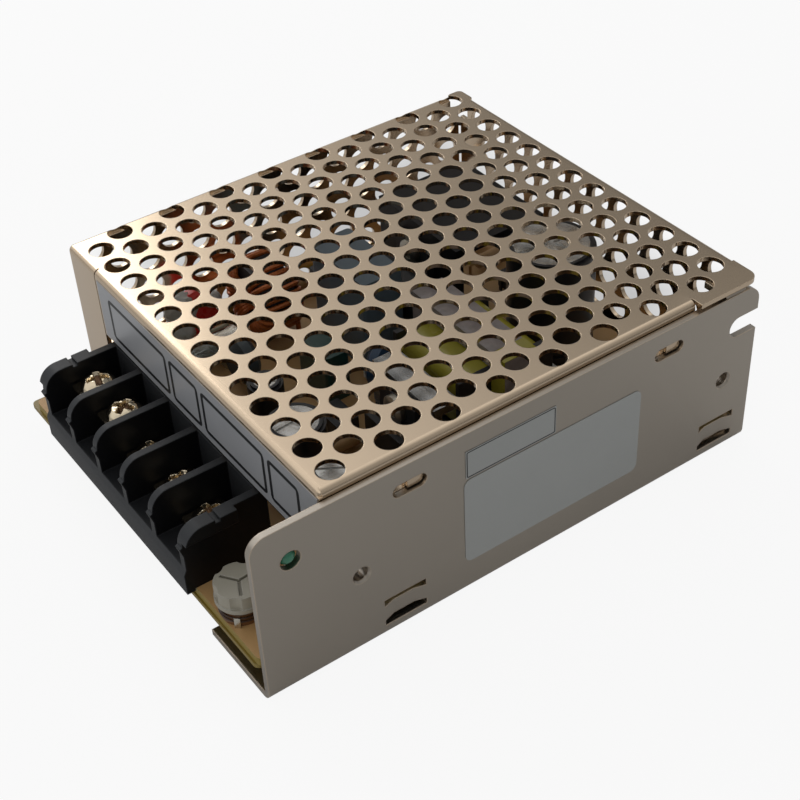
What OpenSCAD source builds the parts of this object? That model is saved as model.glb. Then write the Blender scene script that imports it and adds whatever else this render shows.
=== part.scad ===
// Small enclosed switching power supply: a folded chassis with one solid side wall,
// a folded perforated cover, and a circuit board that carries a five-way screw
// terminal block, a voltage trimmer and the parts of the converter.
// Case axes: X across the width, Y from the terminal end to the rear, Z up from the base.
// The origin is the middle of the footprint, on the underside.

/* [Case] */
// Length of the case from the chassis front edge to the rear face
case_l = 99; // [95:0.5:125]
// Width of the case over both side walls
case_w = 82; // [80:0.5:100]
// Height of the case over the cover
case_h = 35; // [35:0.5:45]
// Thickness of the chassis sheet
chassis_t = 1.2; // [0.8:0.1:1.6]
// Thickness of the cover sheet
cover_t = 0.8; // [0.5:0.1:1.1]
// Outer radius of the chassis bends
chassis_bend = 2; // [1.8:0.1:3]
// Outer radius of the cover bends
cover_bend = 1.1; // [1:0.1:2]
// Step from the cover's top face down to the solid wall's top edge
wall_drop = 1.5; // [1.2:0.1:2.5]
// Radius of the solid wall's upper corners
wall_corner = 3; // [1:0.5:5]
// Clearance between the cover and the chassis where one slides in the other
slip = 0.15; // [0.1:0.05:0.3]
// Distance from the case front to the cover's front face
cover_setback = 12.8; // [12:0.1:15]
// Gap between the terminal block and the cover's front flange
flange_gap = 0.3; // [0.2:0.1:2]
// Width of the cover's folded return at the left front corner
return_w = 10.5; // [8:0.5:12]
// Height of the lip that stands up along the chassis' open side
lip_h = 4.2; // [3:0.1:4.4]

/* [Perforation] */
// Diameter of the vent holes
vent_d = 4.5; // [3:0.1:5]
// Distance between the vent holes in a row
vent_pitch = 6; // [5.8:0.1:8]
// Distance from the left face to the first hole of an even row
vent_edge_x = 5.4; // [5:0.1:7]
// Least distance from the last hole of an even row to the right face
vent_edge_right = 4.4; // [4.4:0.1:8]
// Distance from the case front to the first row
vent_edge_y = 16.9; // [16.8:0.1:18]
// Least distance from the last row to the rear face
vent_edge_rear = 4; // [4:0.1:8]
// Depth of the first hole of the left flange below the top face
side_vent_drop = 3; // [2.9:0.1:5]
// Least height of a hole of the left or the rear flange over the base
vent_foot = 7.8; // [7.6:0.1:12]
// Depth of the rear flange's first row below the top face
rear_vent_drop = 4; // [3.8:0.1:6]
// Distance from the left face to the first hole of the rear flange
rear_vent_edge_x = 7; // [6.5:0.1:9]

/* [Side wall] */
// Diameter of the lamp window
lamp_hole_d = 3.5; // [3.4:0.1:5]
// Lamp window distance from the case front
lamp_y = 6.4; // [5:0.1:7]
// Lamp window height
lamp_z = 26.7; // [24:0.1:28]
// Height of the two tapped holes in the wall
tapped_z = 16.2; // [13:0.1:18]
// Distance from the case front to the first tapped hole
tapped_y = 18; // [14:0.5:20]
// Distance from the last tapped hole to the case rear
tapped_rear = 6.5; // [6:0.5:14]
// Minor radius of the tapped holes
tapped_r = 1.25; // [1.2:0.05:1.6]
// Depth of the pressed collar behind a tapped hole
tapped_collar = 1.6; // [1:0.1:2.5]
// Length of the cover lock slots
lock_slot_l = 6.2; // [4:0.1:8]
// Width of the cover lock slots
lock_slot_w = 2.4; // [1.8:0.1:2.6]
// Distance from the case front to the first lock slot
lock_y = 27.5; // [24:0.5:32]
// Distance from the last lock slot to the case rear
lock_rear = 20; // [16:0.5:26]
// Length of a pressed board shelf
shelf_l = 7.9; // [6:0.1:12]
// Distance from the wall's face to the inner face of a pressed board shelf
shelf_in = 1.8; // [1.7:0.1:2.2]
// Distance from the case front to the middle of the first shelf
shelf_y = 25.6; // [24:0.1:30]
// Distance from the middle of the last shelf to the case rear
shelf_rear = 7.2; // [7:0.1:12]
// Height of the underside of a shelf
shelf_z = 3.8; // [3.4:0.1:4.4]
// Height of the middle of the open notch in the rear edge
notch_z = 26.5; // [24:0.1:27]
// Depth of the open notch
notch_l = 6.2; // [4:0.1:8]
// Width of the open notch
notch_w = 4; // [3:0.1:4.6]

/* [Board] */
// Height of the board's underside
board_z = 6.8; // [6.4:0.1:8]
// Thickness of the board
board_t = 1.6; // [1.2:0.1:2]
// Distance that the board stands out in front of the case
board_out = 0.1; // [0:0.1:0.6]
// Clearance from the board's left edge to the case's left face
board_left = 3.4; // [3:0.1:5]
// Clearance from the board's right edge to the solid wall's outer face
board_right = 1.5; // [1.4:0.1:1.6]
// Clearance from the board's rear edge to the case's rear face
board_rear = 3; // [2.5:0.1:4]
// Thickness of the insulating sheet below the board
sheet_t = 0.8; // [0.3:0.1:1.2]

/* [Terminals] */
// Number of ways in the terminal block
ways = 5; // [5:1:5]
// Distance between neighbouring ways
way_pitch = 9.5; // [9:0.05:10]
// Distance that the terminal block stands out in front of the case
block_out = 1.3; // [1.2:0.1:2.5]
// Thickness of the barriers between the ways
barrier_t = 1.4; // [1:0.1:1.8]
// Distance from the case's left face to the block's left end
block_left = 12.9; // [12.9:0.1:14]
// Height of the block's barriers over the board
block_h = 12.9; // [12:0.1:13]
// Height of the bay floors over the board
bay_floor_h = 4.6; // [4:0.1:5]
// Depth of the block from its front face
block_depth = 15.4; // [15:0.1:16]
// Diameter of the terminal screws' heads
screw_head_d = 6.2; // [5:0.1:6.6]
// Diameter of the terminal screws' threads
screw_thread_d = 3.4; // [3:0.1:3.8]
// Distance from the block's front face to the screws
screw_y = 8; // [7.6:0.1:8.4]
// Distance that the two backed-out screws stand up at rest
screw_backed_out = 2.7; // [0:0.1:3.4]

/* [Trimmer] */
// Diameter of the trimmer's knob
knob_d = 8; // [6:0.1:8.2]
// Height of the knob
knob_h = 3.2; // [2:0.1:5]
// Diameter of the trimmer's base
trimmer_base_d = 7; // [6:0.1:7.4]
// Height of the trimmer's base
trimmer_base_h = 3; // [2.5:0.1:4]

/* [Hidden] */
$fn = 48;

// Clearances shared by every fit
tiny = 0.01;
running = 0.05;
touch_gap = 0.1;
free_gap = 0.3;

// Case planes and edges
left_x = -case_w / 2;
right_x = case_w / 2;
wall_in_x = right_x - chassis_t;
flange_x = wall_in_x - slip;
wall_top = case_h - wall_drop;
cover_in_x = left_x + cover_t;
cover_in_z = case_h - cover_t;
cover_front = cover_setback;
rear_in_y = case_l - cover_t;
nub = 0.5;
case_origin_y = (block_out + nub - case_l) / 2;
tapped_spacing = case_l - tapped_y - tapped_rear;
lock_spacing = case_l - lock_y - lock_rear;
shelf_spacing = case_l - shelf_y - shelf_rear;

// Board planes and edges
board_top = board_z + board_t;
board_x0 = left_x + board_left;
board_x1 = right_x - board_right;
board_y0 = -board_out;
board_y1 = case_l - board_rear;
board_corner = 1;
board_screw_in = 3.4;

// Terminal block planes
block_x0 = left_x + block_left;
block_w = ways * way_pitch + barrier_t;
block_x1 = block_x0 + block_w;
block_y0 = -block_out;
block_top = board_top + block_h;
bay_floor = board_top + bay_floor_h;
bay_w = way_pitch - barrier_t;
screw_row_y = block_y0 + screw_y;
front_flange_h = case_h - block_top - flange_gap;
contact_t = 0.9;
clamp_t = 0.8;
head_h = 2.4;
shank_l = 5.2;
tight_z = bay_floor + contact_t + touch_gap;
backed_out = [screw_backed_out, screw_backed_out, 0, 0, 0];

// Layout of the parts behind the terminal block, drawn for a board of this width and
// for this length between the block and the board's rear edge
layout_w = 77.1;
layout_l = 81.9;
layout_x0 = -37.6;
layout_y0 = 14.1;

// Place on the board of a point of the layout
function at_x(x) = board_x0 + (x - layout_x0) * (board_x1 - board_x0) / layout_w;
function at_y(y) = block_y0 + block_depth + (y - layout_y0) * (board_y1 - block_y0 - block_depth) / layout_l;

// Trimmer place, midway between the block and the solid wall
wall_side = 2.4;
trimmer_x = (block_x1 + wall_in_x - wall_side) / 2;
trimmer_y = 3.4;
knob_z = board_top + trimmer_base_h + touch_gap;
knob_shaft_r = 1.2;
knob_shaft_l = 2.2;

// Board screws
board_screw_x = board_x0 + board_screw_in;
board_screw_ys = [at_y(24), at_y(90)];
board_screw_r = 1.5;
boss_r = 3.2;

function way_x(i) = block_x0 + barrier_t / 2 + way_pitch * (i + 0.5);

// Stands a part on the board at a point of the layout
module on_board(x, y) {
    translate([at_x(x), at_y(y), board_top]) children();
}

// Places a module's case coordinates in the part's own frame
module in_frame() {
    translate([0, case_origin_y, 0]) children();
}

// A block given by its low corner and its size, with its vertical edges rounded
module soft_box(size, r) {
    linear_extrude(size[2]) soft_rect([size[0], size[1]], r);
}

// A rectangle with rounded corners, low corner at the origin
module soft_rect(size, r) {
    union() {
        translate([r, 0]) square([size[0] - 2 * r, size[1]]);
        translate([0, r]) square([size[0], size[1] - 2 * r]);
        for (x = [r, size[0] - r], y = [r, size[1] - r]) translate([x, y]) circle(r);
    }
}

// A quarter of a bent sheet in section, its centre at the origin, open towards -X and -Y
module bend_section(r, t) {
    intersection() {
        difference() {
            circle(r);
            circle(r - t);
        }
        square(r);
    }
}

// A slot with round ends along X, centred on the origin
module slot_shape(l, w) {
    union() {
        square([l - w, w], center = true);
        for (s = [-1, 1]) translate([s * (l - w) / 2, 0]) circle(w / 2);
    }
}

// Turns a drawing of Y and Z into a plate that starts at x and is t thick
module side_plate(x, t) {
    translate([x, 0, 0]) rotate([90, 0, 90]) linear_extrude(t) children();
}

// Turns a drawing of X and Z into a plate that starts at y and is t thick
module cross_plate(y, t) {
    translate([0, y + t, 0]) rotate([90, 0, 0]) linear_extrude(t) children();
}

/* Chassis */

base_front_step = 3.5;
base_step_x = block_x1 + 2.8;
base_left_x = cover_in_x + slip;
base_rear_y = rear_in_y - slip;
lip_y0 = cover_front + 4;
lip_y1 = case_l - 6;
lock_z = wall_top - 4.4;
wall_tab_l = 4.4;
wall_tab_w = 4;
wall_tab_in = 0.3;
relief_below = 1.1;
relief_above = 1.4;
tapped_lead = 0.4;
shelf_leg = 1.4;

module wall_outline() {
    difference() {
        translate([0, chassis_bend]) union() {
            square([case_l, wall_top - chassis_bend - wall_corner]);
            translate([wall_corner, 0]) square([case_l - 2 * wall_corner, wall_top - chassis_bend]);
            for (y = [wall_corner, case_l - wall_corner])
                translate([y, wall_top - chassis_bend - wall_corner]) circle(wall_corner);
        }
        translate([lamp_y, lamp_z]) circle(lamp_hole_d / 2);
        for (i = [0, 1]) {
            translate([tapped_y + i * tapped_spacing, tapped_z]) circle(tapped_r);
            translate([lock_y + i * lock_spacing, lock_z]) slot_shape(lock_slot_l, lock_slot_w);
            translate([shelf_y + i * shelf_spacing - shelf_l / 2, shelf_z - relief_below])
                square([shelf_l, board_z - shelf_z + relief_below + relief_above]);
        }
        translate([case_l, notch_z]) slot_shape(2 * notch_l, notch_w);
    }
}

// Strip pressed inwards between two slits, on which the board's edge rests
module board_shelf() {
    reach = shelf_in - chassis_t;
    half = shelf_l / 2;
    translate([right_x, 0, shelf_z]) linear_extrude(board_z - shelf_z)
        polygon([
            [0, -half], [-chassis_t, -half], [-chassis_t - reach, -half + shelf_leg],
            [-chassis_t - reach, half - shelf_leg], [-chassis_t, half], [0, half],
            [-reach, half - shelf_leg - chassis_t / 2], [-reach, -half + shelf_leg + chassis_t / 2]
        ]);
}

module base_outline() {
    difference() {
        translate([base_left_x + chassis_bend, 0])
            square([right_x - chassis_bend - base_left_x - chassis_bend, base_rear_y]);
        translate([left_x, -tiny]) square([base_step_x - left_x - 1.5, base_front_step]);
        translate([left_x, -tiny]) square([base_step_x - left_x, base_front_step - 1.5]);
        translate([base_step_x - 1.5, base_front_step - 1.5]) circle(1.5);
        for (y = board_screw_ys) translate([board_screw_x, y]) circle(boss_r - chassis_t);
    }
}

// Hollow boss pressed up from the base, tapped for a board screw
module board_boss() {
    difference() {
        cylinder(h = board_z, r = boss_r);
        translate([0, 0, -tiny]) cylinder(h = board_z - chassis_t, r = boss_r - chassis_t);
        cylinder(h = board_z + 1, r = board_screw_r + running);
    }
}

module chassis() {
    color("#8f867c") union() {
        linear_extrude(chassis_t) base_outline();
        difference() {
            side_plate(wall_in_x, chassis_t) wall_outline();
            for (i = [0, 1]) translate([right_x - tapped_lead - 0.2, tapped_y + i * tapped_spacing, tapped_z])
                rotate([0, 90, 0]) cylinder(h = tapped_lead + 0.3, r1 = tapped_r - 0.2, r2 = tapped_r + tapped_lead + 0.1);
        }
        translate([right_x - chassis_bend, case_l, chassis_bend]) rotate([90, 0, 0])
            linear_extrude(case_l) mirror([0, 1]) bend_section(chassis_bend, chassis_t);
        translate([base_left_x + chassis_bend, lip_y1, chassis_bend]) rotate([90, 0, 0])
            linear_extrude(lip_y1 - lip_y0) rotate(180) bend_section(chassis_bend, chassis_t);
        translate([base_left_x, lip_y0, chassis_bend])
            cube([chassis_t, lip_y1 - lip_y0, lip_h - chassis_bend + tiny]);
        for (i = [0, 1]) {
            translate([0, shelf_y + i * shelf_spacing, 0]) board_shelf();
            difference() {
                translate([wall_in_x - tapped_collar, tapped_y + i * tapped_spacing, tapped_z])
                    rotate([0, 90, 0]) cylinder(h = tapped_collar, r = tapped_r + 0.9);
                translate([wall_in_x - tapped_collar, tapped_y + i * tapped_spacing, tapped_z])
                    rotate([0, 90, 0]) cylinder(h = 3 * tapped_collar, r = tapped_r, center = true);
            }
        }
        for (y = board_screw_ys) translate([board_screw_x, y, 0]) board_boss();
        wall_tab();
    }
}

// Tab folded in from the top of the wall at its rear end, under the cover
module wall_tab() {
    y0 = case_l - wall_corner - wall_tab_l;
    z1 = cover_in_z - touch_gap;
    r = chassis_t + wall_tab_in;
    translate([right_x - r, y0 + wall_tab_l, z1 - r]) rotate([90, 0, 0])
        linear_extrude(wall_tab_l) bend_section(r, chassis_t);
    translate([wall_in_x, y0, wall_top - wall_corner])
        cube([chassis_t, wall_tab_l, z1 - r - wall_top + wall_corner]);
    translate([right_x - r - wall_tab_w, y0, z1 - chassis_t]) cube([wall_tab_w, wall_tab_l, chassis_t]);
}

/* Cover */

row_step = vent_pitch * sqrt(3) / 2;
vent_cols = floor((case_w - vent_edge_x - vent_edge_right) / vent_pitch) + 1;
vent_rows = floor((case_l - vent_edge_y - vent_edge_rear) / row_step) + 1;
side_vent_rows = floor((case_h - side_vent_drop - vent_foot) / vent_pitch) + 1;
rear_vent_rows = floor((case_h - rear_vent_drop - vent_foot) / row_step) + 1;
return_z = board_top + 1;
left_flange_z = 0.4;
left_flange_y1 = case_l - 3;
right_flange_y0 = cover_front + 0.6;
right_flange_y1 = case_l - 13.5;
right_flange_h = 8.2;
lock_button = 0.7;
corner_relief = 5;
corner_tab = 3.4;
rear_tab_x = flange_x - 4.8;
rear_tab_y = case_l - 0.3;
rear_gap_z = case_h - 15.5;
corner_tab_r = 2;

// Axis points of the vent holes, with the odd rows moved half a pitch to the left
function top_vents() = [
    for (r = [0 : vent_rows - 1], c = [0 : vent_cols - 1])
        [left_x + vent_edge_x + (c - (r % 2) / 2) * vent_pitch, vent_edge_y + r * row_step]
];
function side_vents() = [
    for (r = [0 : vent_rows - 1], k = [0 : side_vent_rows - 1])
        if (r % 2 == 0 || k < side_vent_rows - 1)
            [vent_edge_y + r * row_step, case_h - side_vent_drop - (k + (r % 2) / 2) * vent_pitch]
];
function rear_vents() = [
    for (k = [0 : rear_vent_rows - 1], c = [0 : vent_cols - 2 - k % 2])
        [left_x + rear_vent_edge_x + (c + (k % 2) / 2) * vent_pitch,
            case_h - rear_vent_drop - k * row_step]
];

module cover_sheet() {
    b = cover_bend;
    top_y0 = cover_front + b;
    top_y1 = case_l - b;
    // Top plate with its two rear corners
    translate([left_x + b, top_y0, cover_in_z])
        cube([flange_x - b - left_x - b, top_y1 - top_y0, cover_t]);
    translate([0, 0, cover_in_z]) linear_extrude(cover_t) rear_corner();
    translate([left_x, case_l - corner_tab, cover_in_z])
        soft_box([corner_tab + b, corner_tab, cover_t], corner_tab_r / 2);
    // Bends along the front, the rear, the left and the right
    translate([left_x + return_w, top_y0, case_h - b]) rotate([90, 0, 90])
        linear_extrude(flange_x - left_x - return_w - b) mirror([1, 0]) bend_section(b, cover_t);
    translate([left_x + corner_tab, top_y1, case_h - b]) rotate([90, 0, 90])
        linear_extrude(rear_tab_x - left_x - corner_tab) bend_section(b, cover_t);
    translate([left_x + b, left_flange_y1, case_h - b]) rotate([90, 0, 0])
        linear_extrude(left_flange_y1 - top_y0) mirror([1, 0]) bend_section(b, cover_t);
    translate([flange_x - b, right_flange_y1, case_h - b]) rotate([90, 0, 0])
        linear_extrude(right_flange_y1 - right_flange_y0) bend_section(b, cover_t);
    // Front flange, over the terminals
    translate([left_x + return_w, cover_front, case_h - front_flange_h])
        cube([flange_x - left_x - return_w, cover_t, front_flange_h - b]);
    translate([flange_x - b, top_y0, case_h - b]) mirror([1, 0, 0]) corner_cap(b);
    // Rear flange, relieved under the corner tabs
    translate([left_x + corner_tab, rear_in_y, left_flange_z])
        cube([rear_tab_x - left_x - corner_tab, cover_t, case_h - b - left_flange_z]);
    translate([left_x + cover_t + free_gap, rear_in_y, left_flange_z])
        cube([rear_tab_x - left_x - cover_t - free_gap, cover_t, case_h - corner_relief - left_flange_z]);
    translate([left_x + corner_tab, rear_in_y, left_flange_z])
        cube([flange_x - left_x - corner_tab, cover_t, rear_gap_z - left_flange_z]);
    // Left flange and the return folded from its front edge
    translate([left_x, top_y0, left_flange_z])
        cube([cover_t, left_flange_y1 - top_y0, case_h - b - left_flange_z]);
    translate([left_x, top_y0, left_flange_z])
        cube([cover_t, rear_in_y - free_gap - top_y0, case_h - corner_relief - left_flange_z]);
    translate([left_x + b, top_y0, return_z]) linear_extrude(case_h - b - return_z)
        rotate(180) bend_section(b, cover_t);
    translate([left_x + b, cover_front, return_z])
        cube([return_w - b - free_gap, cover_t, case_h - b - return_z]);
    translate([left_x + b, top_y0, case_h - b]) corner_cap(b);
    translate([left_x + b, top_y0, case_h - b]) rotate([90, 0, 90])
        linear_extrude(return_w - b - free_gap) mirror([1, 0]) bend_section(b, cover_t);
    // Right flange, which slides down inside the solid wall, with its two lock buttons
    translate([flange_x - cover_t, right_flange_y0, case_h - right_flange_h])
        cube([cover_t, right_flange_y1 - right_flange_y0, right_flange_h - b]);
    for (i = [0, 1]) translate([0, lock_y + i * lock_spacing, lock_z])
        side_plate(flange_x - tiny, lock_button) lock_shape();
}

// Flat rear right corner of the top, over the solid wall
module rear_corner() {
    x0 = flange_x - cover_bend - tiny;
    x1 = right_x - slip;
    y0 = right_flange_y1 + free_gap;
    r = corner_tab_r;
    union() {
        translate([x0, y0]) square([x1 - x0, rear_tab_y - r - y0]);
        translate([rear_tab_x, rear_in_y - cover_bend]) square([x1 - r - rear_tab_x, rear_tab_y - rear_in_y + cover_bend]);
        translate([x1 - r, rear_tab_y - r]) circle(r);
    }
}

// Rear half of a lock slot's outline, with clearance
module lock_shape() {
    l = lock_slot_l / 2 - free_gap;
    w = lock_slot_w - 2 * free_gap;
    union() {
        translate([0, -w / 2]) square([l - w / 2, w]);
        translate([l - w / 2, 0]) circle(w / 2);
    }
}

// Eighth of a hollow ball that closes a bent corner towards -X, -Y and +Z
module corner_cap(r) {
    intersection() {
        difference() {
            sphere(r);
            sphere(r - cover_t);
        }
        translate([-r, -r, 0]) cube(r);
    }
}

module cover() {
    color("#c9b99f") difference() {
        cover_sheet();
        for (p = top_vents()) translate([p[0], p[1], case_h - cover_bend - tiny])
            cylinder(h = 2 * cover_bend, d = vent_d, $fn = 32);
        for (p = side_vents()) translate([left_x - tiny, p[0], p[1]])
            rotate([0, 90, 0]) cylinder(h = cover_bend, d = vent_d, $fn = 32);
        for (p = rear_vents()) translate([p[0], case_l + tiny, p[1]])
            rotate([90, 0, 0]) cylinder(h = cover_bend, d = vent_d, $fn = 32);
        for (i = [0, 1]) translate([0, lock_y + i * lock_spacing - lock_slot_l / 2, lock_z - lock_slot_w / 2])
            side_plate(flange_x - 2 * cover_t, 3 * cover_t) square([lock_slot_l / 2 - touch_gap, lock_slot_w]);
        translate([right_x - chassis_bend - free_gap, rear_in_y - tiny, 0])
            cube([2 * chassis_bend, 2 * cover_t, chassis_bend + free_gap]);
    }
}

/* Board, sheet and fasteners */

sheet_z = board_z - touch_gap - sheet_t;
sheet_out = 0.3;

module board_outline() {
    difference() {
        translate([board_x0, board_y0]) soft_rect([board_x1 - board_x0, board_y1 - board_y0], board_corner);
        for (y = board_screw_ys) translate([board_screw_x, y]) circle(board_screw_r + running);
    }
}

module circuit_board() {
    color("#c9a06a") translate([0, 0, board_z]) linear_extrude(board_t) board_outline();
}

module insulating_sheet() {
    x0 = cover_in_x + free_gap;
    x1 = right_x - shelf_in - free_gap;
    color("#a8884a") translate([0, 0, sheet_z]) linear_extrude(sheet_t) difference() {
        translate([x0, board_y0 - sheet_out]) soft_rect([x1 - x0, board_y1 - board_y0], board_corner);
        for (y = board_screw_ys) translate([board_screw_x, y]) circle(boss_r + free_gap);
    }
}

// Cross-head screw: domed head with a cross recess over a plain shank, seat at z = 0
module cross_screw(head_d, head_h, shank_r, shank_l) {
    dome_r = (head_d * head_d / 4 + head_h * head_h / 4) / head_h;
    difference() {
        union() {
            cylinder(h = head_h * 0.5, d = head_d);
            translate([0, 0, head_h * 0.5]) intersection() {
                translate([0, 0, head_h * 0.5 - dome_r]) sphere(dome_r);
                cylinder(h = head_h, d = head_d);
            }
            translate([0, 0, -shank_l]) cylinder(h = shank_l + tiny, r = shank_r);
        }
        for (a = [0, 90]) rotate(a)
            translate([-head_d * 0.3, -head_d * 0.07, head_h * 0.45])
                cube([head_d * 0.6, head_d * 0.14, head_h]);
    }
}

module board_screws() {
    color("#b9b4a8") for (y = board_screw_ys)
        translate([board_screw_x, y, board_top]) cross_screw(5.4, 2, board_screw_r, 5);
}

/* Labels */

label_t = 0.12;
label_corner = 1.4;
label_gap = 0.4;
label_shift = 5.8;
rating_w = 36;
rating_y0 = (case_l - rating_w) / 2 + label_shift;
rating_z0 = 6.8;
serial_w = 17.6;
serial_h = 5.4;
serial_drop = 3.5;
serial_z0 = wall_top - serial_drop - serial_h;
rating_h = serial_z0 - label_gap - rating_z0;

module rating_label() {
    color("#aab0b6") side_plate(right_x, label_t)
        translate([rating_y0, rating_z0]) soft_rect([rating_w, rating_h], label_corner);
}

module serial_label() {
    color("#b9b6b0") side_plate(right_x, label_t)
        translate([rating_y0 + label_gap, serial_z0]) square([serial_w, serial_h]);
}

module terminal_label() {
    color("#8a93a3") cross_plate(cover_front - label_t, label_t)
        translate([left_x + return_w + 0.6, case_h - front_flange_h + 0.4])
            square([flange_x - left_x - return_w - 1.1, front_flange_h - cover_bend - 0.8]);
}

/* Terminal block */

block_corner = 3.4;
lip_drop = 1.2;
end_pad_t = 1.2;
end_pad_l = 10;
end_notch_y = 5.6;
end_notch_w = 0.9;
end_notch_h = 0.6;
skirt_h = 0.5;
skirt_l = block_out - board_out - 0.2;

// Side view of a barrier, Y forward to back and Z up, with its round upper front corner
module barrier_shape() {
    d = block_depth;
    h = block_top - board_top;
    union() {
        square([d, h - block_corner]);
        translate([block_corner, 0]) square([d - block_corner, h]);
        translate([block_corner, h - block_corner]) circle(block_corner);
        polygon([[0, h - block_corner], [-nub, h - block_corner - 0.3], [0, h - block_corner - 2]]);
    }
}

module terminal_block() {
    h = block_top - board_top;
    back_t = 1.4;
    color("#17171a") difference() {
        union() {
            for (i = [0 : ways]) translate([0, block_y0, board_top])
                side_plate(block_x0 + i * way_pitch, barrier_t) barrier_shape();
            translate([block_x0, block_y0, board_top]) cube([block_w, block_depth, bay_floor_h]);
            translate([block_x0, block_y0 + block_depth - back_t, board_top]) cube([block_w, back_t, h]);
            translate([0, block_y0, 0]) side_plate(block_x0, block_w) polygon([
                [skirt_l, bay_floor], [0, bay_floor], [-nub, bay_floor - 1], [-nub, board_top - skirt_h],
                [skirt_l, board_top - skirt_h]
            ]);
            for (x = [block_x0 - end_pad_t, block_x1]) translate([0, block_y0, board_top])
                side_plate(x, end_pad_t) intersection() {
                    barrier_shape();
                    translate([-nub, h * 0.8]) square([end_pad_l, h]);
                }
        }
        for (x = [block_x0 - end_pad_t, block_x1 - barrier_t])
            translate([x - tiny, block_y0 + end_notch_y, block_top - end_notch_h])
                cube([barrier_t + end_pad_t + 2 * tiny, end_notch_w, 2]);
        for (i = [0 : ways - 1]) {
            translate([way_x(i), screw_row_y, board_top + 0.4])
                cylinder(h = h, r = screw_thread_d / 2 + free_gap + 0.1);
            translate([way_x(i) - tail_w / 2 - touch_gap, tail_y - touch_gap, board_top - tiny])
                cube([tail_w + 2 * touch_gap, contact_t + 2 * touch_gap, bay_floor_h + 2 * tiny]);
        }
    }
}

clamp_w = bay_w - 0.7;
clamp_l = 7.2;
contact_w = bay_w - 2 * touch_gap;
contact_y0 = screw_row_y - clamp_l / 2 + 0.2;
tail_w = 3;
tail_y = block_y0 + block_depth - 4;

// Tapped plate in each bay, with a tail that goes down to the board
module terminal_contacts() {
    color("#c8c2b4") for (i = [0 : ways - 1]) difference() {
        union() {
            translate([way_x(i) - contact_w / 2, contact_y0, bay_floor])
                cube([contact_w, tail_y + contact_t - contact_y0, contact_t]);
            translate([way_x(i) - tail_w / 2, tail_y, board_top]) cube([tail_w, contact_t, bay_floor_h + tiny]);
        }
        translate([way_x(i), screw_row_y, bay_floor - 1])
            cylinder(h = 4, r = screw_thread_d / 2 + running);
    }
}

// Square plate under a screw head that presses the wire down
module clamp_plate(i) {
    z = tight_z + backed_out[i];
    color("#d8cfbb") difference() {
        translate([way_x(i) - clamp_w / 2, screw_row_y - clamp_l / 2, z])
            soft_box([clamp_w, clamp_l, clamp_t], 0.6);
        translate([way_x(i), screw_row_y, z - 1])
            cylinder(h = clamp_t + 2, r = screw_thread_d / 2 + running);
    }
}

module terminal_screw(i) {
    color("#d9cdb4") translate([way_x(i), screw_row_y, tight_z + backed_out[i] + clamp_t + running])
        rotate(25 + 50 * i) cross_screw(screw_head_d, head_h, screw_thread_d / 2, shank_l);
}

/* Trimmer and lamp */

module trimmer_base() {
    color("#4a2c1c") translate([trimmer_x, trimmer_y, board_top]) difference() {
        union() {
            cylinder(h = trimmer_base_h, d = trimmer_base_d);
            translate([-trimmer_base_d / 2, 0, 0]) cube([trimmer_base_d, trimmer_base_d / 2, trimmer_base_h * 0.6]);
        }
        translate([0, 0, trimmer_base_h - knob_shaft_l - free_gap])
            cylinder(h = trimmer_base_h, r = knob_shaft_r + running);
    }
}

// Three flat legs that stand beside the trimmer's base and carry it
module trimmer_pins() {
    r = trimmer_base_d / 2;
    color("#c9c4b8") for (a = [180, 222, 318]) translate([trimmer_x, trimmer_y, board_top])
        rotate(a) translate([r, -0.5, 0]) cube([0.5, 1, trimmer_base_h * 0.7]);
}

module trimmer_knob() {
    r = knob_d / 2;
    color("#b9bab4") translate([trimmer_x, trimmer_y, knob_z]) difference() {
        union() {
            cylinder(h = 0.8, r = r + 0.15);
            cylinder(h = knob_h, r = r);
            translate([0, 0, -knob_shaft_l - touch_gap]) cylinder(h = knob_shaft_l + touch_gap + tiny, r = knob_shaft_r);
        }
        for (a = [95, 215, 335]) rotate(a) translate([0, -0.25, knob_h - 0.7]) cube([r * 0.8, 0.5, 2]);
        for (a = [20 : 60 : 320]) rotate(a) translate([r + 1.3, 0, 0.8]) cylinder(h = knob_h, r = 1.7);
    }
}

lamp_d = 3;
lamp_l = 4.6;
lamp_in = 0.1;
lead_gap = 2.54;
lead_r = 0.3;
lead_y = trimmer_y + knob_d / 2 + 1.6;

module status_lamp() {
    tip = right_x - lamp_in;
    color("#2f9a5c") translate([tip - lamp_l, lamp_y, lamp_z]) rotate([0, 90, 0]) union() {
        cylinder(h = 0.9, d = lamp_d + 0.8);
        cylinder(h = lamp_l - lamp_d / 2, d = lamp_d);
        translate([0, 0, lamp_l - lamp_d / 2]) sphere(d = lamp_d);
    }
}

// Two wires that carry the lamp: back past the trimmer, then down to the board
module lamp_leads() {
    x1 = right_x - lamp_in - lamp_l;
    color("#bdb8ac") for (s = [-1, 1]) {
        x0 = x1 - 0.9 - (1 - s) / 2 * 1.2;
        y0 = lamp_y + s * lead_gap / 2;
        y1 = lead_y + (s + 1) / 2 * lead_gap;
        union() {
            translate([x0, y0, lamp_z]) rotate([0, 90, 0]) cylinder(h = x1 - x0, r = lead_r, $fn = 16);
            translate([x0, y0, lamp_z]) sphere(lead_r, $fn = 16);
            translate([x0, y0, lamp_z]) rotate([-90, 0, 0]) cylinder(h = y1 - y0, r = lead_r, $fn = 16);
            translate([x0, y1, lamp_z]) sphere(lead_r, $fn = 16);
            translate([x0, y1, board_top]) cylinder(h = lamp_z - board_top, r = lead_r, $fn = 16);
        }
    }
}

/* Input side of the board */

fuse_x = -27;
fuse_y = 26.5;
fuse_l = 20;
fuse_d = 5.2;
fuse_lift = fuse_d / 2 + 1;

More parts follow.
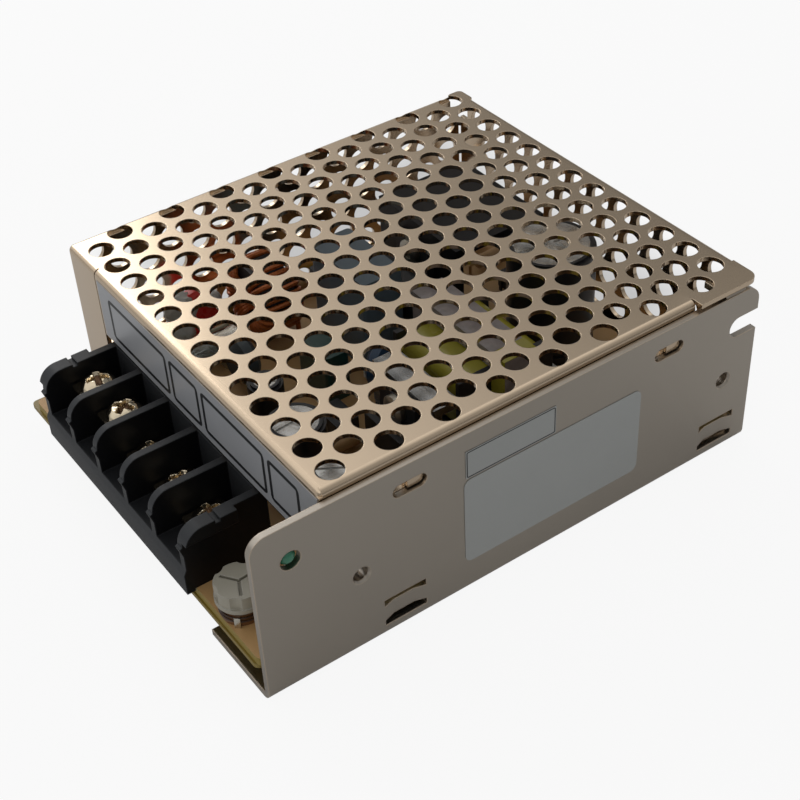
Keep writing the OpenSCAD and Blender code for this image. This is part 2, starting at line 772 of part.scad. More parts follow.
module fuse() {
    color("#d9dcd6") on_board(fuse_x, fuse_y) translate([0, -fuse_l / 2, fuse_lift]) rotate([-90, 0, 0]) union() {
        cylinder(h = fuse_l, d = fuse_d - 0.5);
        for (y = [0, fuse_l - 5.5]) translate([0, 0, y]) cylinder(h = 5.5, d = fuse_d);
    }
}

// Spring clips that hold the fuse at both ends
module fuse_clips() {
    r = fuse_d / 2;
    color("#c8c3b6") on_board(fuse_x, fuse_y) for (y = [4.8 - fuse_l / 2, fuse_l / 2 - 0.8])
        translate([0, y, 0]) rotate([90, 0, 0]) linear_extrude(4) difference() {
            union() {
                translate([-r - 0.5, 0]) square([2 * r + 1, fuse_lift]);
                translate([0, fuse_lift]) circle(r + 0.5);
            }
            translate([0, fuse_lift]) circle(r);
            translate([-r * 0.7, fuse_lift]) square([r * 1.4, 2 * r]);
        }
}

// Round disc on two leads, its face across X when turned 0
module disc_part(d, t, lift, turn) {
    rotate(turn) union() {
        translate([0, 0, lift + d / 2]) rotate([0, 90, 0]) hull() {
            cylinder(h = t, d = d - t * 0.7, center = true, $fn = 32);
            cylinder(h = t * 0.45, d = d, center = true, $fn = 32);
        }
        for (s = [-1, 1]) translate([0, s * d * 0.3, 0]) cylinder(h = lift + d * 0.4, r = lead_r, $fn = 16);
    }
}

module varistor() {
    color("#b3261e") on_board(-35, 32.5) disc_part(10, 3.6, 1.4, 0);
}

module thermistor() {
    color("#27392f") on_board(-17.5, 32) disc_part(9, 4, 1.5, 90);
}

module safety_capacitor() {
    color("#2c5f8f") on_board(-1, 50.5) disc_part(8, 3.4, 2, 30);
}

module mains_capacitor() {
    color("#5d7180") on_board(-15, 55.75) translate([-8.5, -4.25, 0]) soft_box([17, 8.5, 19.4], 0.7);
}

choke_x = -29;
choke_y = 44;
choke_r = 8;
choke_w = 10;
choke_bore_r = 2.4;
choke_core_r = 6.6;
choke_core_bore_r = 3.8;
choke_core_w = 6.4;
choke_lift = 0.8;
choke_gap = 3;

// Upright ferrite ring of the line filter, its axis along Y
module line_choke_core() {
    color("#3c3a3a") on_board(choke_x, choke_y) translate([0, 0, choke_lift + choke_r]) rotate([90, 0, 0])
        ring(choke_core_r, choke_core_bore_r, choke_core_w);
}

module ring(r, bore_r, w) {
    difference() {
        cylinder(h = w, r = r, center = true);
        cylinder(h = w + 1, r = bore_r, center = true);
    }
}

// Two coils wound round the ring, left and right, with their ends led down to the board
module line_choke_winding() {
    color("#b5622e") on_board(choke_x, choke_y) union() {
        translate([0, 0, choke_lift + choke_r]) rotate([90, 0, 0]) difference() {
            ring(choke_r, choke_bore_r, choke_w);
            ring(choke_core_r + running, choke_core_bore_r - running, choke_core_w + 2 * running);
            cube([choke_gap, 4 * choke_r, 2 * choke_w], center = true);
        }
        for (s = [-1, 1], t = [-1, 1]) translate([s * 4, t * (choke_w / 2 - 0.8), 0])
            cylinder(h = choke_lift + 3, r = 0.5, $fn = 16);
    }
}

module bridge_rectifier() {
    color("#1b1c1e") on_board(-7.2, 62.7) union() {
        translate([-7, -1.7, 3.5]) cube([14, 3.4, 10.5]);
        for (x = [-5.7, -1.9, 1.9, 5.7]) translate([x - 0.5, -0.3, 0]) cube([1, 0.6, 3.6]);
    }
}

// Upright can with a rolled groove near its foot and a domed pressure vent on top
module can_capacitor(d, h) {
    r = d / 2;
    groove = 0.4;
    difference() {
        union() {
            cylinder(h = h - 0.5, r = r);
            cylinder(h = h, r = r - 0.5);
        }
        translate([0, 0, 1.6]) difference() {
            cylinder(h = 0.9, r = r + 1);
            translate([0, 0, -tiny]) cylinder(h = 0.9 + 2 * tiny, r = r - groove);
        }
        translate([0, 0, h - 0.3]) cylinder(h = 1, r = r - 1.1);
    }
}

module bulk_capacitor() {
    color("#202226") on_board(6, 83.5) can_capacitor(16, 21.5);
}

sink_t = 1.6;

// Bent plate heatsink: an upright web with a fin folded towards +Y
module bent_sink(w, h, fin) {
    translate([-w / 2, 0, 0]) union() {
        cube([w, sink_t, h]);
        translate([0, 0, h - sink_t]) cube([w, fin, sink_t]);
        for (x = [0, w - 4]) translate([x, 0, 0]) cube([4, 4, sink_t]);
    }
}

primary_sink_x = -16;
primary_sink_y = 69.9;
output_sink_x = 19;
output_sink_y = 41.7;
sink_hole_z = 14.5;

module primary_heatsink() {
    color("#2a2a2c") on_board(primary_sink_x, primary_sink_y) difference() {
        bent_sink(24, 20, 20);
        translate([0, 0, sink_hole_z]) rotate([90, 0, 0]) cylinder(h = 6, r = 1.55, center = true);
    }
}

module output_heatsink() {
    color("#a9abad") on_board(output_sink_x, output_sink_y) difference() {
        bent_sink(17, 18.5, 5);
        translate([0, 0, sink_hole_z]) rotate([90, 0, 0]) cylinder(h = 6, r = 1.55, center = true);
    }
}

// Plastic power package with a metal tab, standing in front of a sink web at y = 0
module power_package() {
    difference() {
        union() {
            translate([-5, -4.5, 2.8]) cube([10, 4.5, 9]);
            translate([-5, -1.3, 2.8]) cube([10, 1.3, 14]);
            for (x = [-2.54, 0, 2.54]) translate([x - 0.4, -2.6, 0]) cube([0.8, 0.5, 2.9]);
        }
        translate([0, 0, sink_hole_z]) rotate([90, 0, 0]) cylinder(h = 6, r = 1.55, center = true);
    }
}

module power_transistor() {
    color("#1c1d1f") on_board(primary_sink_x, primary_sink_y) power_package();
}

module output_rectifier() {
    color("#1c1d1f") on_board(output_sink_x, output_sink_y) power_package();
}

module heatsink_screws() {
    color("#b9b4a8") for (p = [[primary_sink_x, primary_sink_y], [output_sink_x, output_sink_y]])
        on_board(p[0], p[1]) translate([0, -1.3, sink_hole_z]) rotate([90, 0, 0])
            cross_screw(5, 1.8, 1.5, 4);
}

/* Transformer */

core_x = 15.4;
core_y = 58.7;
core_w = 25.4;
core_d = 6.4;
core_h = 19.6;
core_z = 2.2;
core_leg = 3.2;
core_back = 3.4;
core_mid = 5;
window_w = core_w - 2 * core_back;
window_h = (core_h - core_mid) / 2 - core_leg;
former_t = 1;
former_reach = 6.6;
tube_t = 0.7;
coil_reach = 5.6;
tape_t = 0.12;

// Moves to the middle of the core
module at_core() {
    on_board(core_x, core_y) translate([0, 0, core_z + core_h / 2]) children();
}

// Ferrite frame with a middle limb, standing in the XZ plane
module transformer_core() {
    color("#6b6a6c") at_core() difference() {
        cube([core_w, core_d, core_h], center = true);
        for (s = [-1, 1]) translate([0, 0, s * (core_mid + window_h) / 2])
            cube([window_w, 2 * core_d, window_h], center = true);
    }
}

// Yellow tape wound round the core's right end
module transformer_tape() {
    w = core_back;
    color("#c9c02f") at_core() translate([core_w / 2 - w / 2 - tiny, 0, 0]) difference() {
        cube([w, core_d + 2 * tape_t, core_h + 2 * tape_t], center = true);
        cube([w + 1, core_d, core_h], center = true);
    }
}

// Coil former: a tube round the middle limb, two end flanges and two foot rails with pins
module transformer_bobbin() {
    out_h = core_h - 2 * core_leg - 2 * touch_gap;
    hole_d = core_d + 2 * touch_gap;
    hole_h = core_mid + 2 * touch_gap;
    half = window_w / 2 - touch_gap;
    color("#232326") at_core() union() {
        difference() {
            union() {
                for (s = [-1, 1]) translate([s * (half - former_t / 2), 0, 0])
                    cube([former_t, core_d + 2 * former_reach, out_h], center = true);
                cube([2 * half, hole_d + 2 * tube_t, hole_h + 2 * tube_t], center = true);
            }
            cube([window_w, hole_d, hole_h], center = true);
        }
        for (s = [-1, 1]) translate([-half, s * (core_d / 2 + 4.6) - 1.8, 0.9 - core_z - core_h / 2])
            cube([2 * half, 3.6, core_z + core_leg + touch_gap - 0.9 + tiny]);
        for (s = [-1, 1], x = [-6, -2, 2, 6])
            translate([x, s * (core_d / 2 + 4.6), -core_z - core_h / 2]) cylinder(h = 1, r = 0.4, $fn = 16);
    }
}

module transformer_winding() {
    w = window_w - 2 * former_t - 4 * touch_gap;
    d = core_d + 2 * coil_reach;
    h = core_h - 2 * core_leg - 2 * free_gap;
    color("#b8b02c") at_core() difference() {
        rotate([90, 0, 90]) linear_extrude(w, center = true)
            translate([-d / 2, -h / 2]) soft_rect([d, h], 3.4);
        cube([w + 1, core_d + 2 * (tube_t + 2 * touch_gap), core_mid + 2 * (tube_t + 2 * touch_gap)], center = true);
    }
}

/* Output side and small parts */

module output_capacitor_1() {
    color("#23272c") on_board(29.6, 21.5) can_capacitor(8, 19.5);
}

module output_capacitor_2() {
    color("#23272c") on_board(13.5, 24.5) can_capacitor(10, 16.5);
}

// Coil on a drum-shaped ferrite core
module output_inductor() {
    color("#8c4a26") on_board(30, 33.5) union() {
        cylinder(h = 1.4, r = 4.6);
        translate([0, 0, 1.4]) cylinder(h = 7.4, r = 4.1);
        translate([0, 0, 8.8]) cylinder(h = 1.4, r = 4.6);
    }
}

module chip(l, w, pins) {
    pitch = 2.54;
    union() {
        translate([-l / 2, -w / 2, 0.7]) cube([l, w, 3.2]);
        for (s = [-1, 1], i = [0 : pins / 2 - 1])
            translate([(i - (pins / 2 - 1) / 2) * pitch - 0.35, s * (w / 2 + 0.15) - 0.15, 0]) cube([0.7, 0.3, 2.4]);
    }
}

module optocoupler() {
    color("#1d1e20") on_board(3, 38.5) rotate(90) chip(4.6, 6.4, 4);
}

module controller_chip() {
    color("#1d1e20") on_board(-8, 89.5) chip(9.6, 6.4, 8);
}

module small_capacitor_1() {
    color("#2b3b3a") on_board(-4, 29) can_capacitor(6.3, 11.5);
}

module small_capacitor_2() {
    color("#23272c") on_board(0.5, 20.5) can_capacitor(5, 11);
}

module small_capacitor_3() {
    color("#23272c") on_board(23.5, 76.5) can_capacitor(6.3, 11.5);
}

module film_capacitor() {
    color("#2f7d6b") on_board(-8.5, 43.5) translate([-5, -2.5, 0]) soft_box([10, 5, 10], 1);
}

// Axial part lying along Y on two bent leads, centred on its body
module axial_part(d, l, span) {
    union() {
        translate([0, -l / 2, d / 2 + 0.6]) rotate([-90, 0, 0]) cylinder(h = l, d = d, $fn = 24);
        translate([0, -span / 2, d / 2 + 0.6]) rotate([-90, 0, 0]) cylinder(h = span, r = lead_r, $fn = 16);
        for (s = [-1, 1]) translate([0, s * span / 2, 0]) cylinder(h = d / 2 + 0.6, r = lead_r, $fn = 16);
    }
}

resistor_places = [
    [-36, 57], [-36, 72], [-32, 72], [-26, 90], [-20, 90], [8.5, 35.5], [34, 52], [34, 68], [31, 84]
];
diode_places = [[-30.5, 83], [-26, 79], [35.2, 84]];
wire_places = [[-12, 22.5], [-8.5, 22.5], [5, 22.5], [22, 88], [24.5, 88]];

module resistors() {
    color("#b08a5b") for (p = resistor_places) on_board(p[0], p[1]) axial_part(2.6, 6.5, 10);
}

module diodes() {
    color("#26262a") for (p = diode_places)
        on_board(p[0], p[1]) axial_part(2.8, 5.2, 9);
}

module small_transistor() {
    color("#1d1e20") on_board(-30, 57) union() {
        translate([0, 0, 3]) intersection() {
            cylinder(h = 4.6, d = 4.8);
            translate([-3, -1.2, 0]) cube([6, 4, 5]);
        }
        for (x = [-1.27, 0, 1.27]) translate([x, 0, 0]) cylinder(h = 3.1, r = 0.25, $fn = 16);
    }
}

module jumper_wires() {
    color("#c9c4b8") for (p = wire_places) on_board(p[0], p[1]) union() {
        translate([0, -3, 0.7]) rotate([-90, 0, 0]) cylinder(h = 6, r = lead_r, $fn = 16);
        for (s = [-1, 1]) translate([0, s * 3, 0]) cylinder(h = 0.7 + lead_r, r = lead_r, $fn = 16);
    }
}

in_frame() chassis();
in_frame() cover();
in_frame() insulating_sheet();
in_frame() circuit_board();
in_frame() board_screws();
in_frame() rating_label();
in_frame() serial_label();
in_frame() terminal_label();
in_frame() terminal_block();
in_frame() terminal_contacts();
for (i = [0 : ways - 1]) {
    in_frame() clamp_plate(i);
    in_frame() terminal_screw(i);
}
in_frame() trimmer_base();
in_frame() trimmer_pins();
in_frame() trimmer_knob();
in_frame() status_lamp();
in_frame() lamp_leads();
in_frame() fuse();
in_frame() fuse_clips();
in_frame() varistor();
in_frame() thermistor();
in_frame() mains_capacitor();
in_frame() line_choke_core();
in_frame() line_choke_winding();
in_frame() bridge_rectifier();
in_frame() bulk_capacitor();
in_frame() primary_heatsink();
in_frame() power_transistor();
in_frame() transformer_core();
in_frame() transformer_bobbin();
in_frame() transformer_winding();
in_frame() transformer_tape();
in_frame() output_heatsink();
in_frame() output_rectifier();
in_frame() heatsink_screws();
in_frame() output_capacitor_1();
in_frame() output_capacitor_2();
in_frame() output_inductor();
in_frame() safety_capacitor();
in_frame() optocoupler();
in_frame() controller_chip();
in_frame() small_capacitor_1();
in_frame() small_capacitor_2();
in_frame() small_capacitor_3();
in_frame() film_capacitor();
in_frame() resistors();
in_frame() diodes();
in_frame() small_transistor();
in_frame() jumper_wires();
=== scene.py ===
"""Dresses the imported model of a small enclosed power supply: its finishes, its fine details and its studio.

The solids come from the frame and stay as they are. New pieces ride on the frame's bodies.
"""

import math

import bmesh
import bpy
from bpy.props import FloatProperty, FloatVectorProperty, IntProperty, PointerProperty
from mathutils import Matrix, Vector, noise


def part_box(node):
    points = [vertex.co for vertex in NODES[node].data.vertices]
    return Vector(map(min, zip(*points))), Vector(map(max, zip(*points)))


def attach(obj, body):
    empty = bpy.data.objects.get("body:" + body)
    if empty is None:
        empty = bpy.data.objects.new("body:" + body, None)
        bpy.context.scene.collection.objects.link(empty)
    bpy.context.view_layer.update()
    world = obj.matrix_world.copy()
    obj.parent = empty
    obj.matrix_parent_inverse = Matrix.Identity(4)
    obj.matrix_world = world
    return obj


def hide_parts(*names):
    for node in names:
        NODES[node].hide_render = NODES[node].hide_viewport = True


bl_info = {
    "name": "Enclosed power supply dressing",
    "version": (1, 0, 0),
    "blender": (4, 5, 0),
    "location": "View3D > Sidebar > Supply",
    "description": "Finishes, fine details and studio for the packed power supply model",
    "category": "Object",
}

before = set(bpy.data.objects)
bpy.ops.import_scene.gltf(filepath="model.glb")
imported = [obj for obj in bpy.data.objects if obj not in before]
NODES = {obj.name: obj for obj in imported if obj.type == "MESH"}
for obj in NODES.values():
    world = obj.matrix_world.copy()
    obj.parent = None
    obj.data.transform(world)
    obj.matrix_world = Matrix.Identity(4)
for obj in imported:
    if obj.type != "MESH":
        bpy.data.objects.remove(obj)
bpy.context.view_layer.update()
MM = 0.001
UNIT = "unit"
SMOOTH_ANGLE = math.radians(32)


# ---------------------------------------------------------------- shared helpers


def linear(hex_colour, alpha=1.0):
    """Turns an sRGB hex colour into the linear colour that sockets take."""
    parts = [int(hex_colour[i : i + 2], 16) / 255 for i in (1, 3, 5)]
    return tuple(c / 12.92 if c <= 0.04045 else ((c + 0.055) / 1.055) ** 2.4 for c in parts) + (alpha,)


def colour_prop(name, hex_colour, description):
    """A colour that a user can change, with its default in sRGB hex."""
    return FloatVectorProperty(
        name=name, description=description, subtype="COLOR", size=3, min=0, max=1,
        default=linear(hex_colour)[:3],
    )


def size_prop(name, millimetres, description):
    """A length that a user can change, with its default in millimetres."""
    return FloatProperty(name=name, description=description, unit="LENGTH", min=0, default=millimetres * MM)


def count_prop(name, count, description):
    """A number of turns that a user can change."""
    return IntProperty(name=name, description=description, min=3, default=count)


def power_prop(name, watts, description):
    """A lamp's power that a user can change."""
    return FloatProperty(name=name, description=description, unit="POWER", min=0, default=watts)


def strength_prop(name, strength, description):
    """A strength that a user can change."""
    return FloatProperty(name=name, description=description, min=0, default=strength)


def add(tree, kind, links=(), values=(), **settings):
    """Adds one shader node with its settings, its input values and the links into it."""
    made = tree.nodes.new("ShaderNode" + kind)
    for key, value in settings.items():
        setattr(made, key, value)
    for key, value in values:
        made.inputs[key].default_value = value
    for key, socket in links:
        tree.links.new(socket, made.inputs[key])
    return made


def shade(colour, factor):
    """A colour made lighter or darker."""
    return tuple(min(1.0, c * factor) for c in tuple(colour)[:3]) + (1.0,)


def new_material(name):
    """An empty node material and its shader."""
    material = bpy.data.materials.new(name)
    material.use_nodes = True
    return material, material.node_tree, material.node_tree.nodes["Principled BSDF"]


def surface(
    name, colour, metallic=0.0, roughness=0.5, coat=0.0, specular=0.5,
    mottle=(20, 0.06), grain=(0.4, 0.01), stretch=(1, 1, 1), edge=0.12, edge_wear_and_highlight=(), painted_lit_faces=(),
):
    """A finish with slow colour drift, a fine grain and softened edges, all sized in millimetres.

    mottle is the size of the patches and how far their colour strays; grain is the size of the grains and
    their depth; stretch pulls both along an axis, as brushing or drawing does. edge is the radius that the
    light sees on sharp edges. The last two arguments paint light into the colour: the first is the lighter
    colour and strength of sharp edges, a painted highlight that in places also stands for bare or rubbed
    edges; the second is the lighter colour, the strength and the direction of the faces painted as lit, a
    painted light on the side turned that way.
    """
    material, tree, bsdf = new_material(name)
    colour = tuple(colour)[:3]
    place = add(tree, "TexCoord").outputs["Object"]
    pulled = add(tree, "Mapping", [("Vector", place)], [("Scale", stretch)]).outputs["Vector"]
    patches = add(tree, "TexNoise", [("Vector", pulled)], [("Scale", 1 / (mottle[0] * MM)), ("Detail", 3.0)])
    grains = add(tree, "TexNoise", [("Vector", pulled)], [("Scale", 1 / (grain[0] * MM)), ("Detail", 2.0)])
    tone = add(
        tree, "Mix", [("Factor", patches.outputs["Fac"])],
        [("A", shade(colour, 1 - mottle[1])), ("B", shade(colour, 1 + mottle[1]))], data_type="RGBA",
    ).outputs["Result"]
    rounded = add(tree, "Bevel", values=[("Radius", edge * MM)], samples=4)
    flat = add(tree, "NewGeometry")
    # Faces turned toward the given direction are painted lighter: a painted light on the lit side.
    if painted_lit_faces:
        facing = add(
            tree, "VectorMath", [(0, flat.outputs["Normal"])], [(1, painted_lit_faces[2])], operation="DOT_PRODUCT"
        )
        share = add(
            tree, "MapRange", [("Value", facing.outputs["Value"])],
            [("From Min", 0.45), ("From Max", 0.95), ("To Max", painted_lit_faces[1])],
        )
        tone = add(
            tree, "Mix", [("Factor", share.outputs["Result"]), ("A", tone)],
            [("B", tuple(painted_lit_faces[0])[:3] + (1,))], data_type="RGBA",
        ).outputs["Result"]
    # Sharp edges, where the rounded normal turns from the true one, are painted lighter: a painted highlight,
    # in places also bare or rubbed edges.
    if edge_wear_and_highlight:
        turn = add(
            tree, "VectorMath", [(0, rounded.outputs["Normal"]), (1, flat.outputs["Normal"])],
            operation="DOT_PRODUCT",
        )
        edge_wear_and_highlight_mask = add(
            tree, "MapRange", [("Value", turn.outputs["Value"])],
            [("From Min", 0.995), ("From Max", 0.85), ("To Max", edge_wear_and_highlight[1])],
        )
        tone = add(
            tree, "Mix", [("Factor", edge_wear_and_highlight_mask.outputs["Result"]), ("A", tone)],
            [("B", tuple(edge_wear_and_highlight[0])[:3] + (1,))], data_type="RGBA",
        ).outputs["Result"]
    tree.links.new(tone, bsdf.inputs["Base Color"])
    rough = add(
        tree, "MapRange", [("Value", grains.outputs["Fac"])],
        [("To Min", roughness * 0.85), ("To Max", min(1.0, roughness * 1.15))],
    )
    tree.links.new(rough.outputs["Result"], bsdf.inputs["Roughness"])
    bump = add(
        tree, "Bump", [("Height", grains.outputs["Fac"]), ("Normal", rounded.outputs["Normal"])],
        [("Distance", grain[1] * MM)],
    )
    tree.links.new(bump.outputs["Normal"], bsdf.inputs["Normal"])
    bsdf.inputs["Metallic"].default_value = metallic
    bsdf.inputs["Coat Weight"].default_value = coat
    bsdf.inputs["Specular IOR Level"].default_value = specular
    return material


def dress(material, *names):
    """Gives CAD nodes a material."""
    for name in names:
        slots = NODES[name].data.materials
        slots.clear()
        slots.append(material)


def smooth(*names):
    """Shades the curves of CAD nodes smooth and keeps their drawn edges crisp, by modifiers."""
    for name in names:
        obj = NODES[name]
        obj.data.shade_smooth()
        weld = obj.modifiers.new("Weld", "WELD")
        weld.merge_threshold = 2e-6
        split = obj.modifiers.new("Split", "EDGE_SPLIT")
        split.split_angle = SMOOTH_ANGLE


def finish_piece(name, builder, materials, body, replaced=(), rounded=True):
    """Turns a bmesh into a piece in the row frame that rides on a body."""
    bmesh.ops.recalc_face_normals(builder, faces=builder.faces)
    data = bpy.data.meshes.new(name)
    builder.to_mesh(data)
    builder.free()
    for material in materials:
        data.materials.append(material)
    obj = bpy.data.objects.new(name, data)
    bpy.context.scene.collection.objects.link(obj)
    if rounded:
        data.shade_smooth()
        split = obj.modifiers.new("Split", "EDGE_SPLIT")
        split.split_angle = SMOOTH_ANGLE
    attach(obj, body)
    if replaced:
        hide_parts(*replaced)
    return obj


def turned(section, steps=32, index=0):
    """A shape turned about the upright axis from a half section of (radius, height) in millimetres."""
    shape = bmesh.new()
    verts = [shape.verts.new((r * MM, 0, z * MM)) for r, z in section]
    edges = [shape.edges.new(pair) for pair in zip(verts, verts[1:])]
    bmesh.ops.spin(
        shape, geom=verts + edges, cent=(0, 0, 0), axis=(0, 0, 1), angle=2 * math.pi,
        steps=steps, use_merge=True,
    )
    bmesh.ops.remove_doubles(shape, verts=shape.verts, dist=1e-7)
    for face in shape.faces:
        face.material_index = index
    return shape


def wire_ring(major, wire, steps=20, sides=8):
    """A closed ring of wire about the upright axis."""
    shape = bmesh.new()
    stand = Matrix.Translation((major * MM, 0, 0)) @ Matrix.Rotation(math.pi / 2, 4, "X")
    bmesh.ops.create_circle(shape, segments=sides, radius=wire * MM, matrix=stand)
    bmesh.ops.spin(
        shape, geom=shape.verts[:] + shape.edges[:], cent=(0, 0, 0), axis=(0, 0, 1), angle=2 * math.pi,
        steps=steps, use_merge=True,
    )
    return shape


def put(builder, shape, matrix):
    """Moves a finished shape into the piece that collects it."""
    bmesh.ops.transform(shape, matrix=matrix, verts=shape.verts)
    held = bpy.data.meshes.new("held")
    shape.to_mesh(held)
    shape.free()
    builder.from_mesh(held)
    bpy.data.meshes.remove(held)


def at(x, y, z):
    """A move to a place in millimetres."""
    return Matrix.Translation((x * MM, y * MM, z * MM))


def turn(degrees, axis):
    """A turn about an axis through the origin."""
    return Matrix.Rotation(math.radians(degrees), 4, axis)


def centre(node):
    """The middle of a CAD node's box."""
    low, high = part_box(node)
    return (low + high) / 2


# ---------------------------------------------------------------- settings


class SupplyCaseSettings(bpy.types.PropertyGroup):
    """Sheet metal and films of the case."""

    cover: colour_prop("Cover", "#cdb9a0", "Plated steel of the perforated cover")
    # The chassis's colour is the cover's plating painted greyer, a painted shade for walls turned from the
    # light.
    chassis: colour_prop("Chassis", "#aca499", "Plated steel of the chassis")
    rating: colour_prop("Rating film", "#a5a7a5", "Bare film on the solid wall")
    strip: colour_prop("Terminal strip", "#a6a8ac", "Film on the front flange")
    print_ink: colour_prop("Ink", "#0e0f13", "Ink of the printed frames")
    line: size_prop("Line width", 0.75, "Width of the printed frames")


class SupplyTerminalSettings(bpy.types.PropertyGroup):
    """Terminal screws and their block."""

    moulding: colour_prop("Moulding", "#0b0b0d", "Plastic of the terminal block")
    nickel: colour_prop("Nickel", "#cdbfa6", "Plating of the screws and clamp plates")
    head: size_prop("Head radius", 3.1, "Radius of a screw's head")
    arm: size_prop("Recess arm", 1.95, "Reach of the cross recess from the middle")
    arm_width: size_prop("Recess width", 0.55, "Half width of the cross recess")
    depth: size_prop("Recess depth", 1.35, "Depth of the cross recess in the middle")


class SupplyPartSettings(bpy.types.PropertyGroup):
    """Wound and wrapped parts on the board."""

    choke_turns: count_prop("Choke turns", 13, "Turns in each coil of the choke")
    choke_wire: size_prop("Choke wire", 0.5, "Radius of the choke's wire")
    coil_turns: count_prop("Coil turns", 9, "Turns on the output coil")
    coil_wire: size_prop("Coil wire", 0.4, "Radius of the output coil's wire")
    enamel: colour_prop("Enamel", "#b4632f", "Enamel of the wound wire")


class SupplyStageSettings(bpy.types.PropertyGroup):
    """Lamps and surroundings."""

    key: power_prop("Key", 0.75, "Power of the key lamp")
    fill: power_prop("Fill", 0.45, "Power of the fill lamp")
    ambient: strength_prop("Ambient", 0.5, "Strength of the world")
    shaded: strength_prop("Shaded side", 0.22, "Sky that metal sees beyond the rear")
    horizon: strength_prop("Horizon", 0.4, "Sky that metal sees at the horizon")
    floor: colour_prop("Floor", "#e6e6e6", "Floor under the supply")


# ---------------------------------------------------------------- pieces


class SUPPLY_OT_case(bpy.types.Operator):
    """Finishes the chassis and the perforated cover."""

    bl_idname = "supply.case"
    bl_label = "Case sheets"

    def execute(self, context):
        s = context.scene.supply_case
        # Nickel-plated steel, cold rolled and stamped: satin, warm champagne, with a slow drift in tone. Its
        # sharp edges are painted a lighter tone, partly bare sheared steel and partly a painted highlight.
        cover = surface(
            "Nickel-plated steel, cover", s.cover, 1, 0.2, mottle=(22, 0.04), grain=(0.25, 0.0003),
            edge=0.18, edge_wear_and_highlight=(shade(s.cover, 1.25), 0.5),
        )
        # The same plating on the thicker chassis sheet, a little duller. Its colour is painted greyer than
        # the cover's, a painted shade for walls turned from the light, and its sharp edges take the cover's
        # lighter tone, partly bare sheared steel and partly a painted highlight.
        chassis = surface(
            "Nickel-plated steel, chassis", s.chassis, 1, 0.3, mottle=(26, 0.05), grain=(0.25, 0.0004),
            edge=0.3, edge_wear_and_highlight=(shade(s.cover, 1.15), 0.7),
        )
        dress(cover, "cover")
        dress(chassis, "chassis")
        smooth("cover", "chassis")
        return {"FINISHED"}


class SUPPLY_OT_board(bpy.types.Operator):
    """Finishes the board and the insulating sheet below it."""

    bl_idname = "supply.board"
    bl_label = "Board"

    def execute(self, context):
        # Phenolic paper laminate, punched: matte, faintly fibrous and olive, with its upward faces painted a
        # lighter tan: a painted light on the lit top, while the olive sides stand for the same board in
        # shade.
        board = surface(
            "Phenolic laminate", linear("#8f7a32"), 0, 0.5, mottle=(5, 0.08), grain=(0.25, 0.008),
            stretch=(1, 0.35, 1), painted_lit_faces=(linear("#bf9865"), 1.0, (0, 0, 1)),
        )
        # Vulcanised fibre sheet: olive with a soft sheen.
        sheet = surface("Vulcanised fibre", linear("#877330"), 0, 0.42, mottle=(9, 0.06), grain=(0.3, 0.006))
        # Zinc-plated steel: pale grey and satin.
        screw = surface(
            "Zinc-plated steel screw", linear("#b9b4a8"), 1, 0.3, mottle=(3, 0.05), grain=(0.2, 0.002)
        )
        dress(board, "circuit_board")
        dress(sheet, "insulating_sheet")
        dress(screw, "board_screws", "heatsink_screws")
        smooth("circuit_board", "insulating_sheet", "board_screws", "heatsink_screws")
        return {"FINISHED"}


# The strip's printed cells: the left and right end of each, and their margins below and above.
STRIP_CELLS = ((-26.4, -6.2), (-5.2, 4.2), (5.2, 24.2), (25.2, 34.0))
CELL_BELOW = 1.3
CELL_ABOVE = 1.8
CELL_CORNER = 1.0
INK_THICK = 0.02
# The serial label's border: its margin, line and corner.
BORDER_MARGIN = 0.15
BORDER_LINE = 0.16
BORDER_CORNER = 0.3


def rounded_frame(builder, low, high, radius, line, plane_y, thick):
    """A thin printed frame with rounded corners that stands on a plane facing -Y."""
    shape = bmesh.new()
    bmesh.ops.create_grid(shape, x_segments=1, y_segments=1, size=0.5)
    bmesh.ops.scale(shape, verts=shape.verts, vec=(high[0] - low[0], high[1] - low[1], 1))
    bmesh.ops.bevel(
        shape, geom=shape.verts[:], offset=radius, segments=6, profile=0.5, affect="VERTICES", material=-1
    )
    shape.faces.ensure_lookup_table()
    inner = shape.faces[0]
    bmesh.ops.inset_individual(shape, faces=[inner], thickness=line, use_even_offset=True)
    bmesh.ops.delete(shape, geom=[inner], context="FACES_ONLY")
    raised = bmesh.ops.extrude_face_region(shape, geom=shape.faces[:])["geom"]
    lifted = [g for g in raised if isinstance(g, bmesh.types.BMVert)]
    bmesh.ops.translate(shape, verts=lifted, vec=(0, 0, thick))
    middle = Vector(((low[0] + high[0]) / 2, plane_y, (low[1] + high[1]) / 2))
    put(builder, shape, Matrix.Translation(middle) @ turn(90, "X"))


